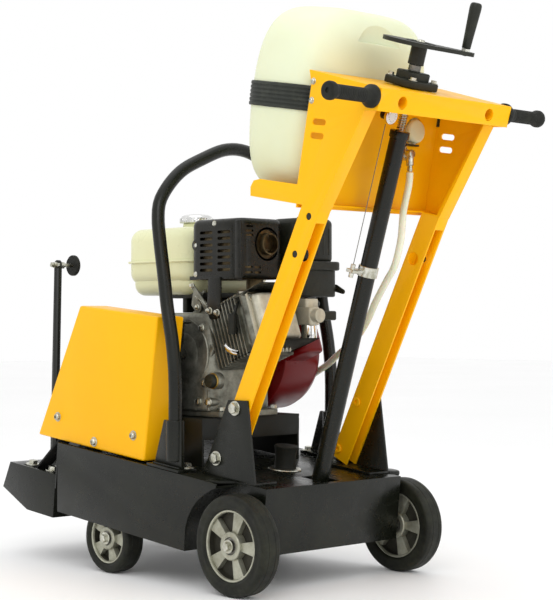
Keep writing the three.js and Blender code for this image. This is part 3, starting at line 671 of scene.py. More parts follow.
def copies(name, shape, seats, place, finish, body, turn=6.28, sharp=35):
    """seats is [(point, direction), ...] in the place's own millimetres; shape stands on +Z."""
    pattern = object_from(f"{name}_pattern", moved(shape, MM))
    mesh = bpy.data.meshes.new(name)
    mesh.from_pydata([place @ Vector(point) for point, _ in seats], [], [])
    facing = mesh.attributes.new("facing", "FLOAT_VECTOR", "POINT")
    for i, (_, direction) in enumerate(seats):
        facing.data[i].vector = (place.to_3x3() @ Vector(direction)).normalized()
    thing = bpy.data.objects.new(name, mesh)
    bpy.context.scene.collection.objects.link(thing)
    made = thing.modifiers.new("copies", "NODES")
    made.node_group = COPIES
    values = {"Shape": pattern, "Finish": finish, "Loose Turn": turn}
    for socket in COPIES.interface.items_tree:
        if socket.in_out == "INPUT" and socket.name in values:
            made[socket.identifier] = values[socket.name]
    settle(thing)
    used = pattern.data
    bpy.data.objects.remove(pattern)
    bpy.data.meshes.remove(used)
    thing.data.shade_smooth()
    thing.data.set_sharp_from_angle(angle=math.radians(sharp))
    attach(thing, body)
    return thing


def hexagon(across):
    return circle(across / math.sqrt(3), 6)


def hex_bolt(across, height, washer, thick=2.0):
    """A hexagon head on a round washer, standing on +Z."""
    crown = across / 2
    head = carve(
        prism(hexagon(across), thick, thick + height, "Z"),
        lathe([(crown * 0.94, thick + height + 0.1), (crown * 1.5, thick + height + 0.1),
               (crown * 1.5, thick + height - across * 0.16)], "Z", 24),
    )
    return join(ring(across * 0.2, washer / 2, 0, thick, "Z", 0.5, 24), head)


def socket_screw(head, height, washer, thick=1.6):
    """A domed button head with a hexagon socket, on a washer."""
    r = head / 2
    dome = lathe([(0, thick), (r, thick), (r, thick + height * 0.25), (r * 0.86, thick + height * 0.7),
                  (r * 0.55, thick + height), (0, thick + height)], "Z", 24)
    dome = carve(dome, prism(hexagon(head * 0.42), thick + height * 0.35, thick + height + 2, "Z"))
    return join(ring(head * 0.3, washer / 2, 0, thick, "Z", 0.4, 24), dome)


def mirrored_seats(seats):
    return seats + [((x, -y, z), (u, -v, w)) for (x, y, z), (u, v, w) in seats]


# ---- wheels ----
def tyre_section(rim, r):
    half = TYRE_WIDTH / 2
    section = [(rim + 0.4, -half + 4), (rim + 3, -half + 1.2), (rim + 7, -half + 0.4)]
    wall = r - 9
    section += [(rim + 9, -half + 1.0), (wall - 4, -half + 0.3)]
    for k in range(6):
        a = PI / 2 * k / 5
        section.append((wall + 8.6 * math.sin(a), -half + 8.8 - 8.6 * math.cos(a)))
    for along in (-9.5, -8.7, -7.9):
        section.append((r - (0.9 if along == -8.7 else 0.05), along))
    return section + [(radius, -along) for radius, along in reversed(section)]


def rim_pieces(tag, node, centre, rim, hub):
    """A cast five-spoke centre: bright lip and spokes over deep pockets painted dark as shade, with a
    sealed bearing.
    """
    body = OWNER[node]
    place = Matrix.Translation(centre) @ MM
    half = TYRE_WIDTH / 2 - 4
    lip = lathe([
        (rim - 4.2, -half + 0.4), (rim - 1, -half - 0.4), (rim, -half + 1), (rim, half - 1),
        (rim - 1, half + 0.4), (rim - 4.2, half - 0.4), (rim - 5.2, half - 4), (rim - 5.2, -half + 4),
    ], "Y", 72)
    outline = rounded([(hub - 3, -7.5), (rim - 4.5, -15.5), (rim - 4.5, 15.5), (hub - 3, 7.5)], 1.5, 3)
    stand = Matrix.Rotation(-PI / 2, 4, "X")
    spokes = []
    for k in range(5):
        turn = Matrix.Rotation(2 * PI * k / 5 + 0.31 + PI / 2, 4, "Y")
        spokes.append(moved(prism(outline, -half + 5, half - 5, "Z"), turn @ stand))
    centre_boss = lathe([
        (hub * 0.62, -half - 1), (hub - 2, -half - 1.6), (hub, -half + 0.4), (hub, half - 0.4),
        (hub - 2, half + 1.6), (hub * 0.62, half + 1),
    ], "Y", 56)
    piece(f"{tag}_wheel_casting", join(lip, centre_boss, *spokes), place, RIM_ALLOY, body, node, bevel=0.8)
    # the pocket web and barrel wall take the dark alloy copy, painted shade for the recesses
    web = lathe([(hub - 2, -3), (rim - 4, -3), (rim - 4, 3), (hub - 2, 3)], "Y", 64)
    wall = lathe([
        (rim - 5.6, -half + 5), (rim - 4.8, -half + 5), (rim - 4.8, half - 5), (rim - 5.6, half - 5),
    ], "Y", 64)
    piece(f"{tag}_wheel_pockets", join(web, wall), place, RIM_POCKET_PAINTED_SHADE, body)
    rings = []
    for side in (-1, 1):
        face = side * (half - 0.5)
        seal = [
            (10.6, face), (hub * 0.4, face + side * 0.8), (hub * 0.55, face + side * 0.3),
            (hub * 0.58, face), (hub * 0.58, face - side * 6), (10.6, face - side * 6),
        ]
        rings.append(lathe(seal, "Y", 48))
    piece(f"{tag}_wheel_bearing", join(*rings), place, STEEL, body)


def wheel(tag, rim, r, hub):
    node = f"{tag}_tyre"
    centre = middle(node)
    piece(f"{tag}_solid_tyre", lathe(tyre_section(rim, r), "Y", 112), Matrix.Translation(centre) @ MM,
          TYRE, OWNER[node], node)
    rim_pieces(tag, f"{tag}_rim", centre, rim, hub)


for side_name in ("left", "right"):
    wheel(f"rear_{side_name}", REAR_RIM_R, REAR_WHEEL_R, 28)
    wheel(f"front_{side_name}", FRONT_RIM_R, FRONT_WHEEL_R, 25)


def axle_ends(name, centre, face, body):
    """A washer and a bolt screwed into each end of the axle."""
    seats = [((centre[0], s * face, centre[1]), (0, s, 0)) for s in (-1, 1)]
    copies(name, hex_bolt(15, 7.5, 27, 2.5), seats, FLOOR, ZINC, body)


# ---- axles ----
def rear_carrier():
    bar = rod(10, -261.6, 261.6, "Y", 1.5)
    place = FLOOR @ Matrix.Translation((0, 0, REAR_WHEEL_R))
    piece("rear_axle_bar", bar, place, ZINC, "rear_axle")
    edged("rear_axle", DARK_STEEL, 1.2)
    axle_ends("rear_axle_bolts", (0, REAR_WHEEL_R), 261.8, "rear_axle")


def front_bar():
    place = FLOOR @ Matrix.Translation((WHEELBASE, 0, FRONT_WHEEL_R))
    sleeves = [ring(10.2, 16, min(s * 177, s * 194), max(s * 177, s * 194)) for s in (-1, 1)]
    piece("front_axle_bar", join(rod(10, -242, 242, "Y", 1.5), *sleeves), place, ZINC, "chassis",
        "front_axle")
    axle_ends("front_axle_bolts", (WHEELBASE, FRONT_WHEEL_R), 242.2, "chassis")


rear_carrier()
front_bar()


# ---- chassis ----
BRACKET_BOLTS = ((54, 363), (109.8, 260))


def weld(path, size):
    """A lumpy fillet bead along a path."""
    long = sum((Vector(b) - Vector(a)).length for a, b in zip(path, path[1:]))
    points = smooth_path(path, max(4, int(long / 2.2)))
    bm = sweep(points, circle(size, 8))
    for i, vert in enumerate(bm.verts):
        ripple = 1 + 0.16 * math.sin((i // 8) * 1.9)
        centre = points[min(i // 8, len(points) - 1)]
        vert.co = centre + (vert.co - centre) * ripple
    return bm


def deck_z(x):
    return FRONT_WHEEL_R + 178 * math.cos(NOSE_UP) + (x - 393.6) * math.tan(NOSE_UP)


def chassis_pieces():
    edged("chassis_frame", BLACK, 2.2, steps=3)
    edged("nose_housing", BLACK, 2.4, steps=3)
    beads = []
    for s in (-1, 1):
        beads.append(weld([(593, s * 236, 176), (593, s * 206, 176)], 3))
        beads.append(weld([(-8, s * 160, DECK_TOP + 0.5), (140, s * 160, DECK_TOP + 0.5)], 2.2))
    beads.append(weld([(593.5, -200, 177), (593.5, 235, 177)], 3.2))
    piece("chassis_welds", join(*beads), CHASSIS, BLACK, "chassis")
    up = (0, 0, 1)
    seats = [((x, y, 176.2), up) for x, y in ((735, 209), (654, 212), (735, -180), (654, -180))]
    copies("nose_bolts", hex_bolt(19, 8, 34, 3), seats, CHASSIS, ZINC, "chassis")
    outer = [((x, 240, z), (0, 1, 0)) for x, z in ((609.6, 306), (474.3, 271.3), (343.2, 305.1))]
    copies("belt_guard_screws", socket_screw(16, 6.5, 21), outer, CHASSIS, ZINC, "chassis")


def belt_guard_shell():
    side = [(291, 560), (556, 558), (680, 256), (304, 256)]
    shell = prism(side, 166, 240)
    bmesh.ops.bevel(shell, geom=list(shell.edges), offset=5, segments=5, profile=0.5, affect="EDGES")
    shell = carve(shell, prism([(294, 557), (554, 555), (684, 240), (307, 240)], 160, 237.5))
    piece("belt_guard_shell", shell, CHASSIS, YELLOW, "chassis", "belt_guard", bevel=0.5)


chassis_pieces()
belt_guard_shell()
edged("belt_back_plate", BLACK, 1.0)
edged("engine_platform", BLACK_SATIN, 1.6, steps=3)
edged("spark_plug_cap", RUBBER, 1.5)


def hoop():
    """The bent lifting tube, its foot sockets, gussets and base plates."""
    half = [
        (201, 228, 250), (200, 228, 340), (200.5, 228, 420), (208, 228, 486), (226, 228, 569),
        (236, 228, 630), (250, 228, 708), (256, 227, 748), (260, 220, 782), (262, 198, 815),
        (263, 158, 852), (264, 95, 883), (264, 40, 904), (264, 0, 909),
    ]
    other = [(x, -y, z) for x, y, z in reversed(half[:-1])]
    tube = sweep(smooth_path(half + other, 120), circle(13.8, 32))
    piece("lifting_hoop_tube", tube, FLOOR, BLACK, "chassis", "lifting_hoop")
    plates, beads, seats = [], [], []
    for s in (-1, 1):
        low, high = sorted((s * 224, s * 232))
        gusset = [(176, 334), (231, 334), (262, deck_z(262) + 4), (176, deck_z(176) + 4)]
        plates.append(prism(rounded(gusset, 2, 3), low, high))
        low, high = sorted((s * 198, s * 247.5))
        foot = [(168, deck_z(168) + 0.3), (268, deck_z(268) + 0.3), (268, deck_z(268) + 6.3),
            (168, deck_z(168) + 6.3)]
        plates.append(prism(foot, low, high))
        plates.append(at(ring(13.9, 18.3, 250, 334, "Z", 1.2), 201, s * 228, 0))
        for y in (221, 235):
            beads.append(weld([(178, s * y, deck_z(178) + 7), (260, s * y, deck_z(260) + 7)], 2.6))
        seats.append(((184, s * 210, deck_z(184) + 6.4), (-math.sin(NOSE_UP), 0, math.cos(NOSE_UP))))
        seats.append(((252, s * 210, deck_z(252) + 6.4), (-math.sin(NOSE_UP), 0, math.cos(NOSE_UP))))
    piece("lifting_hoop_feet", join(*plates), FLOOR, BLACK, "chassis", bevel=1.2)
    piece("lifting_hoop_welds", join(*beads), FLOOR, BLACK, "chassis")
    copies("lifting_hoop_bolts", hex_bolt(17, 8, 30, 2.5), seats, FLOOR, ZINC, "chassis")


def buffer_stop():
    rubber = lathe([(0, 252.6), (24, 252.6), (22.6, 260), (22.4, 284), (24.6, 297), (25.8, 301),
        (24, 303.6), (0, 304)], "Z")
    piece("deck_buffer_rubber", at(rubber, 136, -6, 0), CHASSIS, RUBBER, "chassis", "deck_buffer")
    plate = lathe([(22, 252.4), (34.6, 252.4), (35.8, 253.4), (34.6, 255), (22, 255)], "Z")
    piece("deck_buffer_ring", at(plate, 136, -6, 0), CHASSIS, ZINC, "chassis")


def handle_brackets():
    for tag in ("left", "right"):
        edged(f"handle_bracket_{tag}", BLACK, 1.2)
    seats = [((x, 195.6, z), (0, 1, 0)) for x, z in BRACKET_BOLTS]
    copies("handle_bolts", hex_bolt(19, 8, 30, 2.5), mirrored_seats(seats), FLOOR, ZINC, "chassis")


hoop()
buffer_stop()
handle_brackets()


# ---- handle frame ----
LEG_HOLES = ((-148, 737), (-110, 666))


def handle():
    """Folded sheet legs, side plates, console and beam, with round holes reamed true and dark discs set in
    the leg holes as painted shade.
    """
    reamers = []
    for s in (-1, 1):
        for x, z in LEG_HOLES:
            low, high = sorted((s * 180, s * 194))
            reamers.append(moved(at(rod(7.15, low, high, "Y", 0.1, 40), x, 0, z), FLOOR))
        beam_hole = at(rod(12.3, -8, 20, "X", 0.1, 48), 0, s * 127, 0)
        lean = Matrix.Rotation(-HANDLE_TILT, 4, "Y")
        beam_hole = moved(beam_hole, Matrix.Translation((-332, 0, 941.5)) @ lean)
        reamers.append(moved(beam_hole, FLOOR))
    edged("handle_frame", YELLOW, 1.6, reamers, 3)
    # black discs just inside the leg holes: painted shade for the dark hole interiors
    hole_shade_discs = []
    for s in (-1, 1):
        for x, z in LEG_HOLES:
            low, high = sorted((s * 186.4, s * 189.2))
            hole_shade_discs.append(at(rod(6.9, low, high, "Y", 0.6, 32), x, 0, z))
    piece("leg_hole_plugs", join(*hole_shade_discs), FLOOR, PLASTIC, "chassis")
    rings = []
    for s in (-1, 1):
        for x, z in BRACKET_BOLTS:
            low, high = sorted((s * 154, s * 158))
            rings.append(at(ring(4.5, 10, low, high, "Y", 1.2, 32), x, 0, z))
    piece("handle_weld_nuts", join(*rings), FLOOR, YELLOW, "chassis")
    sleeves = [at(ring(11.2, 12.1, 1, 34, "X", 0.3, 48), 0, s * 127, -21) for s in (-1, 1)]
    piece("beam_hole_sleeves", join(*sleeves), BEAM, YELLOW, "chassis")
    seats = [((-161.5, 190.1, 994), (0, 1, 0)), ((-156.5, 190.1, 958), (0, 1, 0))]
    copies("strap_screws", socket_screw(10, 3.6, 13, 1.0), mirrored_seats(seats), FLOOR, ZINC, "chassis")


def grips():
    """Flanged rubber handle grips with fine ribs and a slotted end."""
    body = [(0, 0.2), (21.2, 0.2), (22, 1.5), (22, 8), (20.6, 10.5), (16.5, 14), (14.4, 19), (13.6, 26)]
    for k in range(16):
        along = 29 + k * 4.4
        body += [(13.5, along), (12.9, along + 0.9), (12.9, along + 2.6), (13.5, along + 3.5)]
    body += [(14.2, 103), (16.8, 107), (17.4, 110), (17.4, 116), (16.2, 119), (13, 120), (5, 119.4),
        (5, 117), (0, 117)]
    for s, tag in ((1, "left"), (-1, "right")):
        shape = lathe(body, "Y", 56)
        place = FLOOR @ Matrix.Translation((-315, s * (LEG_OUT + 0.3), 950))
        if s < 0:
            place = place @ Matrix.Rotation(PI, 4, "X")
        piece(f"grip_{tag}_sleeve", shape, place, RUBBER, "chassis", f"grip_{tag}")


handle()
grips()


# ---- water tank ----
def power(value, exponent):
    return 0.0 if abs(value) < 1e-9 else math.copysign(abs(value) ** exponent, value)


def tank_point(round_angle, rise):
    """A point on the tank, from its turn about the upright and its rise from -90 to 90 degrees."""
    level, up = math.cos(rise), power(math.sin(rise), 0.5)
    out = power(level, 0.42)
    x = 101 * out * power(math.cos(round_angle), 0.5)
    y = 183 * out * power(math.sin(round_angle), 0.42)
    z = (196 if up > 0 else 184) * up
    taper = 1 - 0.05 * max(0, -z / 184) - 0.07 * max(0, z / 196) ** 2
    return Vector((x * taper - 0.024 * max(0, z), y * taper, z))


def water_tank():
    around, rows = 144, 90
    bm = bmesh.new()
    poles = [bm.verts.new(tank_point(0, s * PI / 2)) for s in (-1, 1)]
    spread = [PI * (k / rows - 0.5) for k in range(1, rows)]
    loops = []
    for rise in spread:
        turns = [2 * PI * (i + 0.5) / around for i in range(around)]
        loops.append([bm.verts.new(tank_point(t + 0.16 * math.sin(4 * t), rise)) for t in turns])
    for one, two in zip(loops, loops[1:]):
        for i in range(around):
            j = (i + 1) % around
            bm.faces.new([one[i], one[j], two[j], two[i]])
    for pole, loop in ((poles[0], loops[0]), (poles[1], loops[-1])):
        for i in range(around):
            bm.faces.new([pole, loop[i], loop[(i + 1) % around]])
    sweep_room = moved(rod(122, 150, 320, "Z", 0.1, 128), TANK.inverted() @ SCREW)
    piece("water_tank_shell", carve(bm, sweep_room), TANK, POLY, "chassis", "water_tank", bevel=3,
        steps=4, sharp=30)


def tank_ring(grow, count=160):
    out = []
    for i in range(count):
        t = 2 * PI * (i + 0.5) / count
        t += 0.16 * math.sin(4 * t)
        out.append(((101 + grow) * power(math.cos(t), 0.5), (183 + grow) * power(math.sin(t), 0.42)))
    return out


def tank_strap():
    """A ribbed rubber band round the front of the tank; its ends run on inside the side plates."""
    front = [(x, y) for x, y in tank_ring(0.9) if x > -84]
    start = max(range(len(front)), key=lambda i: (front[i][1] < 0) * 1000 - abs(front[i][0] + 84))
    front = front[start:] + front[:start]
    if front[0][1] > 0:
        front.reverse()
    tail = [(-118, -184.1), (-104, -184.0)]
    line = tail + front + [(x, -y) for x, y in reversed(tail)]
    profile = []
    for k in range(6):
        low = -14 + k * 49 / 6
        profile += [(1.6, low + 0.7), (2.9, low + 1.9), (2.9, low + 6.3), (1.6, low + 7.5)]
    section = [(0, -14), (1.6, -14)] + profile + [(1.6, 35), (0, 35)]
    bm = bmesh.new()
    rows = []
    for i, (x, y) in enumerate(line):
        here = Vector((x, y))
        ahead = Vector(line[min(i + 1, len(line) - 1)]) - Vector(line[max(i - 1, 0)])
        normal = Vector((ahead.y, -ahead.x)).normalized()
        if normal.dot(here) < 0:
            normal = -normal
        thin = 0.55 if abs(x) > 100 and x < 0 else 1.0
        rows.append([bm.verts.new((*(here + normal * out * thin), z)) for out, z in section])
    for one, two in zip(rows, rows[1:]):
        for i in range(len(section)):
            j = (i + 1) % len(section)
            bm.faces.new([one[i], one[j], two[j], two[i]])
    bm.faces.new(rows[0][::-1])
    bm.faces.new(rows[-1])
    piece("tank_strap_band", bm, TANK, moulded("strap_rubber", rgb(40, 43, 38), rgb(76, 79, 68), 0.45,
        500, 0.2),
          "chassis", "tank_strap")


water_tank()
tank_strap()


# ---- water fittings ----
CAP = (-136.4, -118, 924)
TAP = (-147, -84, 874)


def water_fittings():
    rim = lathe([(0, 0), (22, 0), (24.4, 1.2), (24.4, 13.5), (21.8, 17.8), (19, 18.8), (0, 18.8)], "X", 64)
    lugs = []
    for k in range(24):
        lug = box(23.4, 24.9, -1.1, 1.1, 1.5, 13, 0.4, 1)
        lugs.append(moved(lug, TURN["X"] @ Matrix.Rotation(2 * PI * k / 24, 4, "Z")))
    out = Matrix.Rotation(PI, 4, "Z")
    place = FLOOR @ Matrix.Translation(CAP) @ out
    piece("water_tank_cap_skirt", join(rim, *lugs), place, POLY, "tank_cap", "water_tank_cap", bevel=0)
    tap_place = FLOOR @ Matrix.Translation(TAP)
    parts = [
        rod(8.6, -23.6, 17.6, "X", 1.0, 40), ring(6, 12.2, -9, 9, "X", 1.0, 6),
        rod(5.8, 6, 17, "Z", 0.6, 32), at(rod(7.6, -23.6, 0, "Z", 1.2, 32), -16, 0, 0),
        at(rod(5.2, -35.6, -20, "Z", 0.6, 32), -16, 0, 0),
    ]
    for k in range(3):
        parts.append(at(ring(3, 5.9 - 0.3 * k, -34 + 4 * k, -31 + 4 * k, "Z", 1.2, 32), -16, 0, 0))
    for k in range(5):
        parts.append(ring(4, 9, 10.2 + 1.5 * k, 11.2 + 1.5 * k, "X", 0.4, 32))
    piece("water_tap_body", join(*parts), tap_place, ZINC, "chassis", "water_tap")
    lever_bar = box(-5.6, 5.6, -41.6, 2, 18.6, 22.4, 1.6, 3)
    piece("tap_lever_body", join(lever_bar, rod(7.8, 17.5, 23, "Z", 1.0, 32)), tap_place, PLASTIC,
        "tap_lever", "tap_lever")


# ---- depth screw, crank, nut tube and gauge ----
CRANK_TURN = Matrix.Rotation(-(PI / 2 + math.radians(21.5)), 4, "Z")


def threaded_bar():
    """A two-start rolled thread, 5 mm from crest to crest, between plain ends."""
    bm = bmesh.new()
    around, low, high, pitch = 32, -248.0, 118.0, 5.0
    rows = int((high - low) / 1.25)
    loops = []
    for k in range(rows + 1):
        z = low + (high - low) * k / rows
        loop = []
        for i in range(around):
            a = 2 * PI * i / around
            wave = math.cos(2 * PI * (z / pitch) - 2 * a)
            r = 8.1 + 0.85 * max(-0.75, min(0.75, wave)) / 0.75
            loop.append(bm.verts.new((r * math.cos(a), r * math.sin(a), z)))
        loops.append(loop)
    for one, two in zip(loops, loops[1:]):
        for i in range(around):
            j = (i + 1) % around
            bm.faces.new([one[i], one[j], two[j], two[i]])
    bm.faces.new(loops[0][::-1])
    bm.faces.new(loops[-1])
    return bm


def depth_parts():
    piece("depth_screw_thread", join(threaded_bar(), rod(9, 117, 171.5, "Z", 0.8)), SCREW, ZINC, "crank",
        "depth_screw")
    collar = [lathe([(9, 119.8), (12.4, 119.8), (12.4, 130.6), (11.6, 131), (9, 131)], "Z", 40)]
    piece("depth_screw_collar", join(*collar), SCREW, STEEL, "crank")
    plate = prism(pill(-20, 0, 55.8, 100, 0, 18.8, 40), 168.2, 176, "Z")
    top = [e for e in plate.edges if min(v.co.z for v in e.verts) > 175.9]
    bmesh.ops.bevel(plate, geom=top, offset=3, segments=4, profile=0.5, affect="EDGES")
    plate = carve(plate, at(rod(4.6, 160, 190, "Z", 0.1, 32), 100, 0, 0))
    hub = lathe([(9.4, 131.8), (15, 131.8), (15.8, 132.6), (15.8, 160), (15.8, 168), (9.4, 168)], "Z", 56)
    groove = lathe([(20, 176), (30, 176), (30, 177), (28.5, 177.6), (21.5, 177.6), (20, 177)], "Z", 56)
    piece("crank_plate_disc", join(plate, hub, groove), SCREW @ CRANK_TURN, PLASTIC, "crank", "crank_plate")
    cap_screw = lathe([(0, 175.5), (8.4, 175.5), (8.4, 179), (6.8, 181), (0, 181)], "Z", 40)
    cap_screw = carve(cap_screw, prism(hexagon(7), 178.4, 184, "Z"))
    nut = at(carve(prism(hexagon(16), 175.8, 180.8, "Z"), rod(4.6, 170, 190, "Z", 0.1, 24)), 100, 0, 0)
    piece("crank_plate_screws", join(cap_screw, nut), SCREW @ CRANK_TURN, ZINC, "crank")
    grip = lathe([
        (0, 181.4), (8.2, 181.4), (8.8, 182.6), (9.3, 200), (10.1, 218), (10.9, 236), (11.8, 256),
        (11.9, 262),
        (11.4, 267), (9.6, 270.4), (6, 271.8), (0, 272),
    ], "Z", 48)
    pin = rod(3.9, 166.6, 182, "Z", 0.3, 24)
    piece("crank_grip_knob", at(join(grip, pin), 100, 0, 0), SCREW @ CRANK_TURN, PLASTIC, "crank_grip",
        "crank_grip")


def nut_tube_parts():
    """The lower tube with its open mouth, eye and clamp, drawn over the screw."""
    end = -802.6
    tube = lathe([
        (10.6, -0.2), (16.6, -0.2), (17.4, -1), (17.4, end + 13),
        (10.5, end + 13), (10.5, -360), (10.6, -359),
    ], "Z", 64)
    collar = lathe([(15, -0.1), (19.4, -0.1), (19.9, -0.8), (19.9, -13.2), (19.4, -13.9), (17, -13.9)],
        "Z", 64)
    eye = at(rod(17.3, -17.3, 17.3, "Y", 1.2, 48), 0, 0, end)
    eye = carve(eye, prism(pill(-4.3, end, 8.1, 0.3, end, 8), -30, 30))
    piece("nut_tube_body", join(tube, collar, eye), SCREW, BLACK, "nut_tube", "nut_tube")
    band = [ring(17.2, 20.4, -297.6, -276.4, "Z", 0.7, 56), box(-9.6, 9.6, 18, 53.6, -290.6, -283.4, 1.2)]
    band.append(at(rod(4.8, -13.6, 13.6, "Z", 0.8, 24), 0, 46, -287))
    piece("gauge_wire_clip", join(*band), SCREW, ZINC, "nut_tube")
    wire = rod(0.8, -281.5, 10, "Z", 0.1, 12)
    piece("gauge_wire_line", at(wire, 0, 46, 0), SCREW, STEEL, "nut_tube", "gauge_wire")


def gauge():
    case = lathe([
        (0, -13.9), (13.2, -13.9), (13.8, -13.2), (13.8, -12.4), (14.8, -12), (14.8, -10.4),
        (14.2, -9.8), (14.2, -4.6), (13.4, -4), (0, -4),
    ], "X", 64)
    stem = [rod(8.8, -4.4, 12, "X", 0.8, 40), box(-1.8, 9.8, 41.2, 50.8, 34, 47.8, 1.5)]
    place = SCREW @ Matrix.Translation((0, 46, 27))
    shift = Matrix.Translation((0, -46, -27))
    stem[1] = moved(stem[1], shift)
    piece("depth_gauge_case", case, place, CHROME, "chassis", "depth_gauge")
    piece("depth_gauge_mount", join(*stem), place, BLACK, "chassis")
    face = lathe([(0, -14), (12.4, -14), (12.4, -13.4), (0, -13.4)], "X", 56)
    piece("depth_gauge_dial", face, place, DIAL, "chassis")


def bearing_block():
    body = join(crowned(-40, 40, -40, 40, 87.7, 103, 9, 3), crowned(-27, 27, -27, 27, 100, 118.8, 13, 4))
    body = carve(body, rod(12.8, 80, 125, "Z", 0.1, 40))
    piece("spindle_bearing_body", body, SCREW, PLASTIC, "chassis", "spindle_bearing")
    corners = [((s * 30, t * 30, 103), (0, 0, 1)) for s in (-1, 1) for t in (-1, 1)]
    copies("spindle_bearing_bolts", hex_bolt(10, 5, 17, 1.6), corners, SCREW, ZINC, "chassis")


water_fittings()
depth_parts()
nut_tube_parts()
gauge()
bearing_block()


# ---- belt drive, blade spindle and blade guard ----
CRANK_FORWARD = CRANK[0] - WHEELBASE
CRANK_UP = CRANK[1] - FRONT_WHEEL_R
DRIVE = (
    WHEELBASE + CRANK_FORWARD * math.cos(NOSE_UP) + CRANK_UP * math.sin(NOSE_UP),
    FRONT_WHEEL_R - CRANK_FORWARD * math.sin(NOSE_UP) + CRANK_UP * math.cos(NOSE_UP),
)


def pulley(r, y0, y1):
    w = (y1 - y0) / 2
    points = [(5, y0)]
    for i in range(2):
        a = y0 + i * w
        points += [(r - 0.4, a), (r, a + 0.5), (r, a + 1.8), (r - 7, a + w / 2 - 2),
            (r - 7, a + w / 2 + 2), (r, a + w - 1.8)]
    return lathe(points + [(r - 0.2, y1), (5, y1)], "Y", 72)


def drive_line():
    parts = [pulley(38, 182, 222), rod(12.5, 118.8, 226, "Y", 1.0), rod(26, 150, 184, "Y", 1.5, 56)]
    piece("crankshaft_pulley_body", join(*parts), ENGINE, DARK_STEEL, "crankshaft", "crankshaft_pulley")
    shaft = [
        pulley(32, 182, 222), rod(15, -258, 228, "Y", 1.0), rod(23, -226, -206, "Y", 1.5),
        rod(47.8, -266, -257, "Y", 1.2, 72), rod(25, -258, -225, "Y", 1.2),
        rod(30, 165, 183, "Y", 1.5), rod(9, -293.6, -262, "Y", 1.2, 40),
    ]
    piece("blade_spindle_shaft", join(*shaft), GUARD, STEEL, "blade_spindle", "blade_shaft")
    flange = lathe([
        (9.6, -278), (44, -278), (47.8, -274.6), (47.8, -270.6), (38, -270.6), (36, -272),
        (15.6, -272), (15.6, -277), (9.6, -277),
    ], "Y", 72)
    collar = ring(9.6, 25.6, -283.6, -277.4, "Y", 1.2, 56)
    nut = carve(prism(hexagon(27), -290.8, -283.4), rod(9.5, -300, -280, "Y", 0.1, 40))
    piece("blade_flange_body", join(flange, collar, nut), GUARD, DARK_STEEL, "blade_spindle",
        "blade_flange", bevel=0.6)
    low = pill(DRIVE[0], DRIVE[1], 38.7, BLADE[0], BLADE[1], 32.7, 40)
    top = pill(DRIVE[0], DRIVE[1], 43, BLADE[0], BLADE[1], 37, 40)
    belts = []
    for a in (184.4, 202.6):
        belts.append(carve(prism(top, a, a + 17), prism(low, a - 4, a + 22)))
    piece("drive_belt_pair", join(*belts), CHASSIS, BELT, "chassis", "drive_belt")


def guard_half(start, end):
    def fan(radius, a, b):
        turn = [math.radians(a + (b - a) * i / 56) for i in range(57)]
        return [(0, 0)] + [(radius * math.cos(t), radius * math.sin(t)) for t in turn]
    shell = prism(fan(GUARD_R - 0.2, start, end), -305.8, -251.2)
    return carve(shell, prism(fan(GUARD_R - 3, start - 10, end + 10), -303, -254),
        rod(62, -312, -240, "Y", 0.1, 72))


def blade_guards():
    piece("blade_guard_shell", guard_half(62, 200), GUARD, BLACK, "chassis", "blade_guard", bevel=1.0)
    inlet = lathe([(0, 203), (6, 203), (6, 208), (5.2, 209.4), (5.9, 212), (5.2, 214), (5.9, 217),
        (4.6, 220.2), (0, 220.2)], "X", 32)
    inlet = at(moved(inlet, Matrix.Rotation(math.radians(-108.6), 4, "Y")), 0, -279, 0)
    piece("blade_guard_inlet", inlet, GUARD, ZINC, "chassis")
    piece("blade_guard_flap_shell", guard_half(-14, 60.5), GUARD, BLACK, "guard_flap", "blade_guard_flap",
        bevel=1.0)


drive_line()
blade_guards()


# ---- pointer ----
def pointer():
    """The folding cutting-line pointer, its roller and its wing nut."""
    edged("pointer_arm", BLACK, 1.0)
    place = CHASSIS @ Matrix.Translation((849.4, 0, 627))
    wheel_shape = lathe([(5, 40), (22, 40), (24.6, 42.4), (24.6, 47.6), (22, 50), (5, 50)], "Y", 64)
    piece("pointer_roller_wheel", wheel_shape, place, RUBBER, "pointer_roller", "pointer_roller")
    stud = [rod(4.8, 36.2, 109.8, "Y", 0.8, 32), prism(hexagon(15), 74.4, 84.2)]
    piece("pointer_roller_stud", join(*stud), place, ZINC, "pointer_roller")
    wings = []
    for s in (-1, 1):
        wing = rounded([(s * 5, -3), (s * 16.6, -1), (s * 17, 5.6), (s * 7, 5.6)], 1.5, 3)
        wings.append(prism(wing, 96.2, 99.3))
    core = lathe([(5.4, 93.6), (7.9, 93.6), (6.6, 102.8), (5.4, 102.8)], "Y", 40)
    piece("pointer_wing_nut_body", join(core, *wings), place, ZINC, "pointer_wing_nut",
        "pointer_wing_nut", bevel=0.4)


pointer()


# ---- engine ----
def bolt_row(name, seats, place, across=10, height=6, washer=14, body="chassis"):
    copies(name, hex_bolt(across, height, washer, 1.4), seats, place, ZINC, body)


CRANKCASE_CORNERS = ((66, 52), (66, -60), (-66, -60), (-60, 56))
DRAIN_BOLTS = (-82, -50, 84)


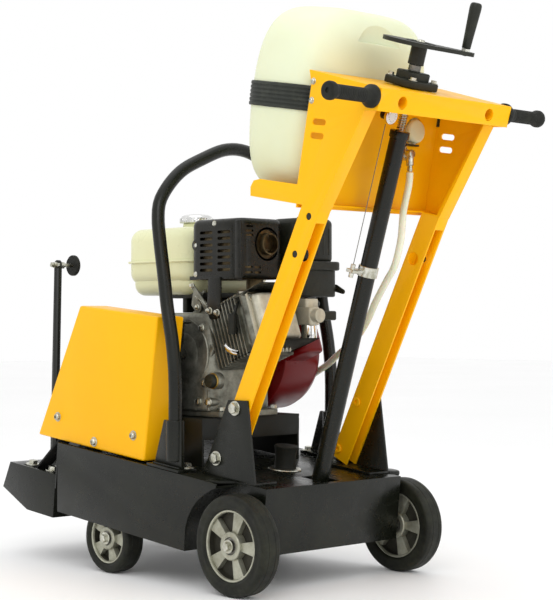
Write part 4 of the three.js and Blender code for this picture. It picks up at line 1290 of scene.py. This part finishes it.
def crankcase():
    parts = [
        crowned(-112, 122, -62, 108, -132.7, -119, 14, 3),
        crowned(-92, 98, -62, 117, -122, 88, 32, 10),
        rod(46, 105, 118, "Y", 3, 72),
        ring(46, 78, 112, 117.4, "Y", 2.0, 72),
    ]
    for x, z in CRANKCASE_CORNERS:
        parts.append(at(rod(11, 100, 117.6, "Y", 2, 32), x, 0, z))
    for x in (-76, -38, 0, 38, 80):
        parts.append(box(x - 2.5, x + 2.5, 60, 116.5, -119, -74, 1.5))
    for a in (0.3, 1.3, 2.2, 3.9, 5.2):
        rib = box(46, 80, 108, 116.4, -2.2, 2.2, 1.2)
        parts.append(moved(rib, Matrix.Rotation(a, 4, "Y")))
    parts.append(at(rod(18, 100, 117.4, "Y", 2, 40), -96, 0, -55))
    slant = Matrix.Translation((-70, 0, -6)) @ Matrix.Rotation(1.05, 4, "Y")
    parts.append(moved(box(-30, 30, 96, 112, -9, 9, 4), slant))
    for x in DRAIN_BOLTS:
        parts.append(at(rod(9, 60, 117.2, "Y", 2, 32), x, 0, -100))
    piece("engine_crankcase", join(*parts), ENGINE, ALLOY, "chassis", "engine_block")
    seats = [((x, 117.8, z), (0, 1, 0)) for x, z in CRANKCASE_CORNERS]
    bolt_row("crankcase_bolts", seats, ENGINE, 10, 5, 15)
    seats = [((x, 117.4, -100), (0, 1, 0)) for x in DRAIN_BOLTS]
    bolt_row("crankcase_drain_bolts", seats, ENGINE, 13, 6, 18)
    collar = at(ring(12, 17, 117.4, 121, "Y", 0.8, 40), -96, 0, -55)
    piece("oil_filler_ring", collar, ENGINE, BRASS, "chassis")
    feet = [((x, y, -118.8), (0, 0, 1)) for x in (-102, 112) for y in (-52, 98)]
    bolt_row("engine_foot_bolts", feet, ENGINE, 13, 7, 20)


def cylinder():
    """The leaning cylinder with thin cooling fins, its head and its pushed-on cover."""
    core = [box(-196, -40, -4, 102, -48, 44, 8, 3), crowned(-216, -190, -12, 110, -62, 60, 14, 4)]
    piece("engine_cylinder", join(*core), CYLINDER, ALLOY, "chassis")
    seats = [((-92 - 10.2 * k, 46, -1), (1, 0, 0)) for k in range(10)]
    fin = box(-67, 67, -66, 66, -1.4, 1.4, 5, 3, "Z")
    copies("cylinder_fins", fin, seats, CYLINDER, ALLOY, "chassis", 0.0)
    for side_z in (-1, 1):
        seats = [((-203, 16 + 10.4 * k, side_z * 58), (0, 1, 0)) for k in range(9)]
        head_fin = box(-13, 13, -8, 8, -1.3, 1.3, 2, 2, "Z")
        copies(f"head_fins_{side_z + 1}", head_fin, seats, CYLINDER, PALE_ALLOY, "chassis", 0.0)
    cover = crowned(-246.6, -216.6, 0, 104, -50, 50, 15, 8, 6)
    piece("valve_cover_shell", cover, CYLINDER, PALE_ALLOY, "chassis", "valve_cover")
    lip = crowned(-222, -216.5, -6, 109, -55, 55, 14, 1.6, 3)
    piece("valve_cover_lip", lip, CYLINDER, PALE_ALLOY, "chassis")
    seats = [((-222.2, y, z), (-1, 0, 0)) for y in (5, 99) for z in (-45, 45)]
    bolt_row("valve_cover_bolts", seats, CYLINDER, 10, 6, 15)


crankcase()
cylinder()


def louvre(length, width, depth):
    """A raised pressed slot on +Z."""
    soft = min(width, depth) * 0.45
    return box(-length / 2, length / 2, -width / 2, width / 2, -0.4, depth, soft, 3)


def exhaust():
    can = crowned(-168, -10, -22, 100, 158, 272, 26, 12)
    outlet = at(rod(23, -182, -160, "X", 1.5, 56), 0, 33, 232)
    outlet = carve(outlet, at(rod(19.6, -190, -150, "X", 0.1, 56), 0, 33, 232))
    pipe = at(rod(18, 132, 162, "Z", 1.5, 48), -140, 40, 0)
    piece("muffler_can", join(can, outlet, pipe), ENGINE, HOT, "chassis", "muffler")
    plate = crowned(-168, -112, 12, 68, 127.7, 134, 9, 1.5, 3)
    piece("muffler_flange", plate, ENGINE, ALLOY, "chassis")
    seats = [((-160, y, 134.2), (0, 0, 1)) for y in (19, 61)]
    bolt_row("muffler_bolts", seats, ENGINE, 10, 6, 15)
    shell = crowned(-171, -4.2, -24, 108, 154, 286, 28, 14, 6)
    cuts = [crowned(-168.6, -6, -60, 105.6, 130, 283.4, 26, 12, 6),
        at(rod(31, -190, -150, "X", 0.1, 64), 0, 33, 232)]
    side_slots = [(y, 250 + 9 * k) for y in (-8, 82) for k in range(3)]
    side_slots += [(y, 172 + 11 * k) for k in range(2) for y in (60, 84)]
    for y, z in side_slots:
        cuts.append(at(box(-180, -160, -9, 9, -2.4, 2.4, 2.2, 2, "X"), 0, y, z))
    for column in (-118, -62):
        for k in range(7):
            z = 178 + k * 13.2
            cuts.append(at(prism(pill(column - 17, 0, 3.2, column + 17, 0, 3.2, 6), 95, 115), 0, 0, z))
    for k in range(4):
        for y in (8, 66):
            slot_cut = box(-24, 24, -2.6, 2.6, 275, 295, 2.4, 2, "Z")
            slot_cut = moved(slot_cut, Matrix.Rotation(math.radians(38), 4, "Z"))
            cuts.append(at(slot_cut, -140 + k * 32, y, 0))
    piece("muffler_shield_shell", carve(shell, *cuts), ENGINE, SHIELD_PAINT, "chassis", "muffler_shield")
    band = [box(-171, -152, 104, 108, 160, 280, 1.2), box(-171, -8, 105.6, 107.8, 158, 166, 0.8)]
    boss = join(at(rod(12, 105.8, 107.8, "Y", 0.8, 40), -28, 0, 232), *band,
        at(ring(30.5, 36, -171, -168.8, "X", 0.6, 64), 0, 33, 232))
    piece("muffler_shield_boss", boss, ENGINE, SHIELD_PAINT, "chassis")
    seats = [((-28, 107.6, 232), (0, 1, 0)), ((-28, 107.8, 170), (0, 1, 0)), ((-88, 107.8, 276), (0, 1, 0))]
    copies("muffler_shield_screws", hex_bolt(8, 0.1, 12, 0.2), seats, ENGINE, ZINC, "chassis")


def spring(start, end, radius, wire, turns):
    """A coil spring between two points, its ends running on as straight hooks."""
    start, end = Vector(start), Vector(end)
    line = end - start
    side = line.normalized().orthogonal().normalized()
    up = line.normalized().cross(side)
    path = [start]
    per_turn = 14
    steps = turns * per_turn
    hook, coil = 0.14, 0.72
    for i in range(steps + 1):
        a = 2 * PI * i / per_turn
        out = (side * math.cos(a) + up * math.sin(a)) * radius
        path.append(start + line * (hook + coil * i / steps) + out)
    path.append(end)
    return sweep(path, circle(wire, 6))


def linkage():
    """Exhaust bracket, governor arm and throttle plates above the crankcase."""
    outline = [(-112, 162), (-74, 162), (-70, 96), (-78, 74), (-104, 74), (-112, 96)]
    plate = prism(rounded(outline, 7, 5), 108.2, 112.4)
    foot = box(-110, -76, 90, 112, 158, 163, 1.5)
    piece("exhaust_bracket", join(plate, foot), ENGINE, SHIELD_PAINT, "chassis",
        bevel=0.8)
    seats = [((-103, 112.6, 88), (0, 1, 0)), ((-80, 112.6, 92), (0, 1, 0))]
    bolt_row("exhaust_bracket_bolts", seats, ENGINE, 10, 6, 15)
    outline = [(-64, 88), (-8, 88), (8, 104), (4, 128), (-22, 134), (-30, 112), (-60, 106)]
    control = prism(rounded(outline, 5, 4), 86, 88.4)
    arm = prism(pill(-58, 92, 6, -6, 146, 5, 10), 96, 98.6)
    slider = prism(pill(-18, 100, 12, -10, 126, 8, 12), 91, 93.6)
    lid = box(-70, 2, 24, 90, 87, 91, 1.5)
    piece("governor_plates", join(control, arm, slider, lid), ENGINE, ALLOY, "chassis",
        bevel=0.5)
    piece("governor_spring", join(
        spring((-12, 95, 124), (-64, 95, 98), 4.2, 0.8, 9),
        spring((0, 90, 112), (-38, 84, 140), 2.6, 0.6, 10),
    ), ENGINE, ZINC, "chassis")
    seats = [((-18, 93.8, 100), (0, 1, 0)), ((-6, 98.8, 146), (0, 1, 0)), ((-58, 98.8, 92), (0, 1, 0))]
    copies("governor_bolts", hex_bolt(8, 4, 12, 1.0), seats, ENGINE, ZINC, "chassis")
    lead = smooth_path([(-160, 117, 84), (-158, 108, 104), (-140, 80, 118), (-100, 20, 116),
        (-70, -40, 100)], 48)
    piece("spark_plug_lead", sweep(lead, 3.2), ENGINE, RUBBER, "chassis")
    tube = smooth_path([(-116, 92, 30), (-126, 106, 16), (-142, 108, 8), (-164, 106, 4)], 30)
    piece("spark_plug_pipe", sweep(tube, 7.5), ENGINE, CHROME, "chassis")


def filter_housing():
    parts = [
        crowned(-203, -105, -146, -28, 194, 289.8, 30, 12, 6),
        crowned(-214, -98, -156, -26, 179, 198, 26, 4, 4),
        crowned(-206, -112, -146, -40, 122, 182, 18, 4, 4),
    ]
    knob = lathe([(0, 286), (9, 286), (9, 292), (7.8, 294.6), (5.5, 296), (0, 296)], "Z", 40)
    parts.append(at(knob, -150, -86, 0))
    for k in range(5):
        y = -120 + 17 * k
        parts.append(box(-203.6, -201.5, y - 2, y + 2, 212, 270, 1.0))
    piece("air_cleaner_housing", join(*parts), ENGINE, PLASTIC, "chassis", "air_cleaner")


def carburettor():
    body = [
        crowned(-232, -188, -64, -34, 62, 100, 6, 3, 3), crowned(-214, -170, -78, -40, 92, 118, 6, 3, 3),
        at(rod(15, -246, -176, "X", 1.5, 40), 0, -50, 82),
    ]
    piece("carburettor_body", join(*body), ENGINE, PALE_ALLOY, "chassis", "carburetor")
    bowl = lathe([(0, 30), (9, 30), (16, 33), (17, 38), (17, 60), (15, 64), (0, 64)], "Z", 48)
    bowl = at(join(bowl, prism(hexagon(10), 26, 30.5, "Z")), -212, -50, 0)
    piece("carburettor_bowl", bowl, ENGINE, CHROME, "chassis")
    elbow = crowned(-236, -184, -112, -62, 72, 92, 7, 4, 4)
    piece("carburettor_elbow", elbow, ENGINE, PLASTIC, "chassis")


def fuel_system():
    upper = crowned(12.2, 241.8, -169.8, 89.8, 150, 276, 44, 28, 7)
    lower = crowned(20, 234, -162, 82, 127, 202, 40, 24, 7)
    seam = crowned(7.2, 246.8, -174.8, 94.8, 198.6, 203.4, 45, 1.6, 3)
    neck = at(lathe([(0, 270), (31, 270), (31, 288), (30, 290), (0, 290)], "Z", 64), 138, -40, 0)
    legs = [box(x, x + 14, -60, 40, 88.6, 132, 1.5) for x in (30, 80)]
    piece("fuel_tank_shell", join(upper, lower, seam, neck), ENGINE, CREAM, "chassis", "fuel_tank")
    legs.append(box(24, 108, -62, 60, 120, 132, 2))
    piece("fuel_tank_bracket", join(*legs), ENGINE, PLASTIC, "chassis")
    cap = [lathe([(0, 290.6), (36, 290.6), (37.6, 292), (37.6, 301), (34, 306.6), (28, 309.4),
        (20, 310.8), (0, 310.8)], "Z", 72)]
    for k in range(36):
        rib = box(36.8, 38.9, -1.3, 1.3, 291.4, 302, 0.5, 1)
        cap.append(moved(rib, Matrix.Rotation(2 * PI * k / 36, 4, "Z")))
    piece("fuel_cap_body", at(join(*cap), 138, -40, 0), ENGINE, CHROME, "fuel_cap", "fuel_cap")


def starter():
    shell = lathe([
        (0, -203.6), (42, -203.6), (46, -202), (84, -194), (112, -180), (120, -174), (125.6, -160),
        (125.6, -66), (122, -64.2), (0, -64.2),
    ], "Y", 96)
    hood = moved(crowned(-175, -20, -132, -64.2, -58, 60, 19, 8), Matrix.Rotation(math.radians(20), 4, "Y"))
    piece("fan_cover_shell", join(shell, hood), ENGINE, RED, "chassis", "fan_cover")
    turns = [PI / 3 * k + 0.3 for k in range(6)]
    seats = [((92 * math.cos(a), -189.5, 92 * math.sin(a)), (0, -1, 0)) for a in turns]
    bolt_row("fan_cover_bolts", seats, ENGINE, 8, 4, 12)
    slots = [((64 * math.cos(a), -199, 64 * math.sin(a)), (-math.cos(a) * 0.22, -1, -math.sin(a) * 0.22))
             for a in (2 * PI * k / 14 for k in range(14))]
    copies("fan_cover_vents", louvre(18, 5, 1.2), slots, ENGINE, RED, "chassis", 0.0)
    handle = moved(crowned(-38, 38, -13, 13, -9, 9, 9, 4, 4), Matrix.Rotation(-0.64, 4, "Y"))
    piece("recoil_handle_body", at(handle, -78, -176, 124), ENGINE, PLASTIC, "recoil_handle",
        "recoil_handle")


def small_controls():
    edged("throttle_lever", ZINC, 0.8)
    edged("choke_lever", PLASTIC, 0.8)
    edged("fuel_valve_lever", PLASTIC, 0.8)
    switch = at(rod(12.8, -200, -190, "Y", 1.6, 40), 62, 0, 92)
    rocker = box(58.2, 65.8, -206.8, -199, 80.5, 103.5, 1.8)
    piece("engine_switch_body", join(switch, rocker), ENGINE, RED, "engine_switch", "engine_switch")
    knob = lathe([(0, 118.4), (9, 118.4), (9, 119), (14.6, 120), (14.8, 128), (13, 131.6), (0, 131.8)],
        "Y", 40)
    bars = [box(-13, 13, 128, 131.9, -2.4, 2.4, 1.0)]
    piece("oil_filler_cap_knob", at(join(knob, *bars), -96, 0, -55), ENGINE, PLASTIC, "oil_cap",
        "oil_filler_cap")


exhaust()
linkage()
filter_housing()
carburettor()
fuel_system()
starter()
small_controls()


# ---- light, floor, camera and hose ----
def sun_panel(name, size, power, place, aim, tint=(1, 1, 1)):
    lamp = bpy.data.lights.new(name, "AREA")
    lamp.shape = "RECTANGLE"
    lamp.size, lamp.size_y = size
    lamp.energy = power
    lamp.color = tint
    thing = bpy.data.objects.new(name, lamp)
    thing.location = place
    thing.rotation_euler = (Vector(aim) - Vector(place)).to_track_quat("-Z", "Y").to_euler()
    bpy.context.scene.collection.objects.link(thing)


def studio():
    bm = bmesh.new()
    bmesh.ops.create_grid(bm, x_segments=2, y_segments=2, size=14)
    floor = object_from("studio_floor", bm)
    f = Finish("studio_floor")
    f.colour(f.blend(f.noise(0.8, 3, 0.5).within(0.3, 0.7), rgb(253, 253, 253), rgb(250, 250, 250)))
    f.join(f.noise(3.0, 3, 0.5).within(0.3, 0.7, 0.5, 0.6), "Roughness")
    floor.data.materials.append(f.material)
    world = bpy.data.worlds.new("studio")
    bpy.context.scene.world = world
    world.use_nodes = True
    shade = world.node_tree.nodes["Background"]
    shade.inputs["Color"].default_value = (1.0, 1.0, 1.0, 1.0)
    shade.inputs["Strength"].default_value = 1.0
    sun_panel("key", (1.8, 1.8), 26, (-2.2, 2.4, 2.6), (0, 0, 0.5))
    sun_panel("side", (1.2, 2.2), 9, (-3.0, -0.6, 1.4), (0, 0, 0.6))
    sun_panel("top", (2.4, 2.4), 14, (0.2, 0.2, 3.4), (0, 0, 0.4))


def camera():
    lens = bpy.data.cameras.new("camera")
    lens.lens = 97.4
    lens.sensor_width = 36
    thing = bpy.data.objects.new("camera", lens)
    yaw, pitch = math.radians(43.82), math.radians(0.6)
    thing.location = (REAR.x - 2.339, 2.3774, 0.545)
    heading = Vector((math.cos(yaw) * math.cos(pitch), -math.sin(yaw) * math.cos(pitch), math.sin(pitch)))
    thing.rotation_euler = heading.to_track_quat("-Z", "Y").to_euler()
    bpy.context.scene.collection.objects.link(thing)
    bpy.context.scene.camera = thing


def water_hose():
    """The clear hose from the tap down to the blade guard."""
    route = [
        (-163, -84, 836.8), (-160, -84, 812), (-147, -82, 757), (-142, -80, 702), (-122, -82, 647),
        (-100, -85, 621), (-62, -90, 574), (-33, -100, 541), (20, -122, 502), (117, -165, 463),
        (170, -188, 441), (222, -203, 421), (289, -212, 391), (366, -220, 367), (450, -236, 356),
        (520, -262, 372), (562, -278, 386), (590, -279, 378), (600, -279, 366),
    ]
    line = smooth_path(route, 240)
    long = sum((b - a).length for a, b in zip(line, line[1:])) * 0.001
    finish = Finish("clear_hose_pvc", subsurface_weight=0.3, subsurface_scale=0.006)
    finish.colour(finish.blend(finish.noise(6.0, 2, 0.5).within(0.35, 0.7), rgb(232, 232, 208),
        rgb(214, 214, 184)))
    finish.join(finish.noise(60.0, 3, 0.6).within(0.3, 0.7, 0.2, 0.36), "Roughness")
    finish.bump(finish.noise(40.0, 2, 0.5), 0.03, 0.0004)
    hose = piece("water_hose_tube", sweep(line, 7.2), FLOOR, finish.material, "chassis", "water_hose")
    points = [FLOOR @ p for p in line]


water_hose()
studio()
camera()
bpy.context.scene.view_settings.view_transform = "Standard"
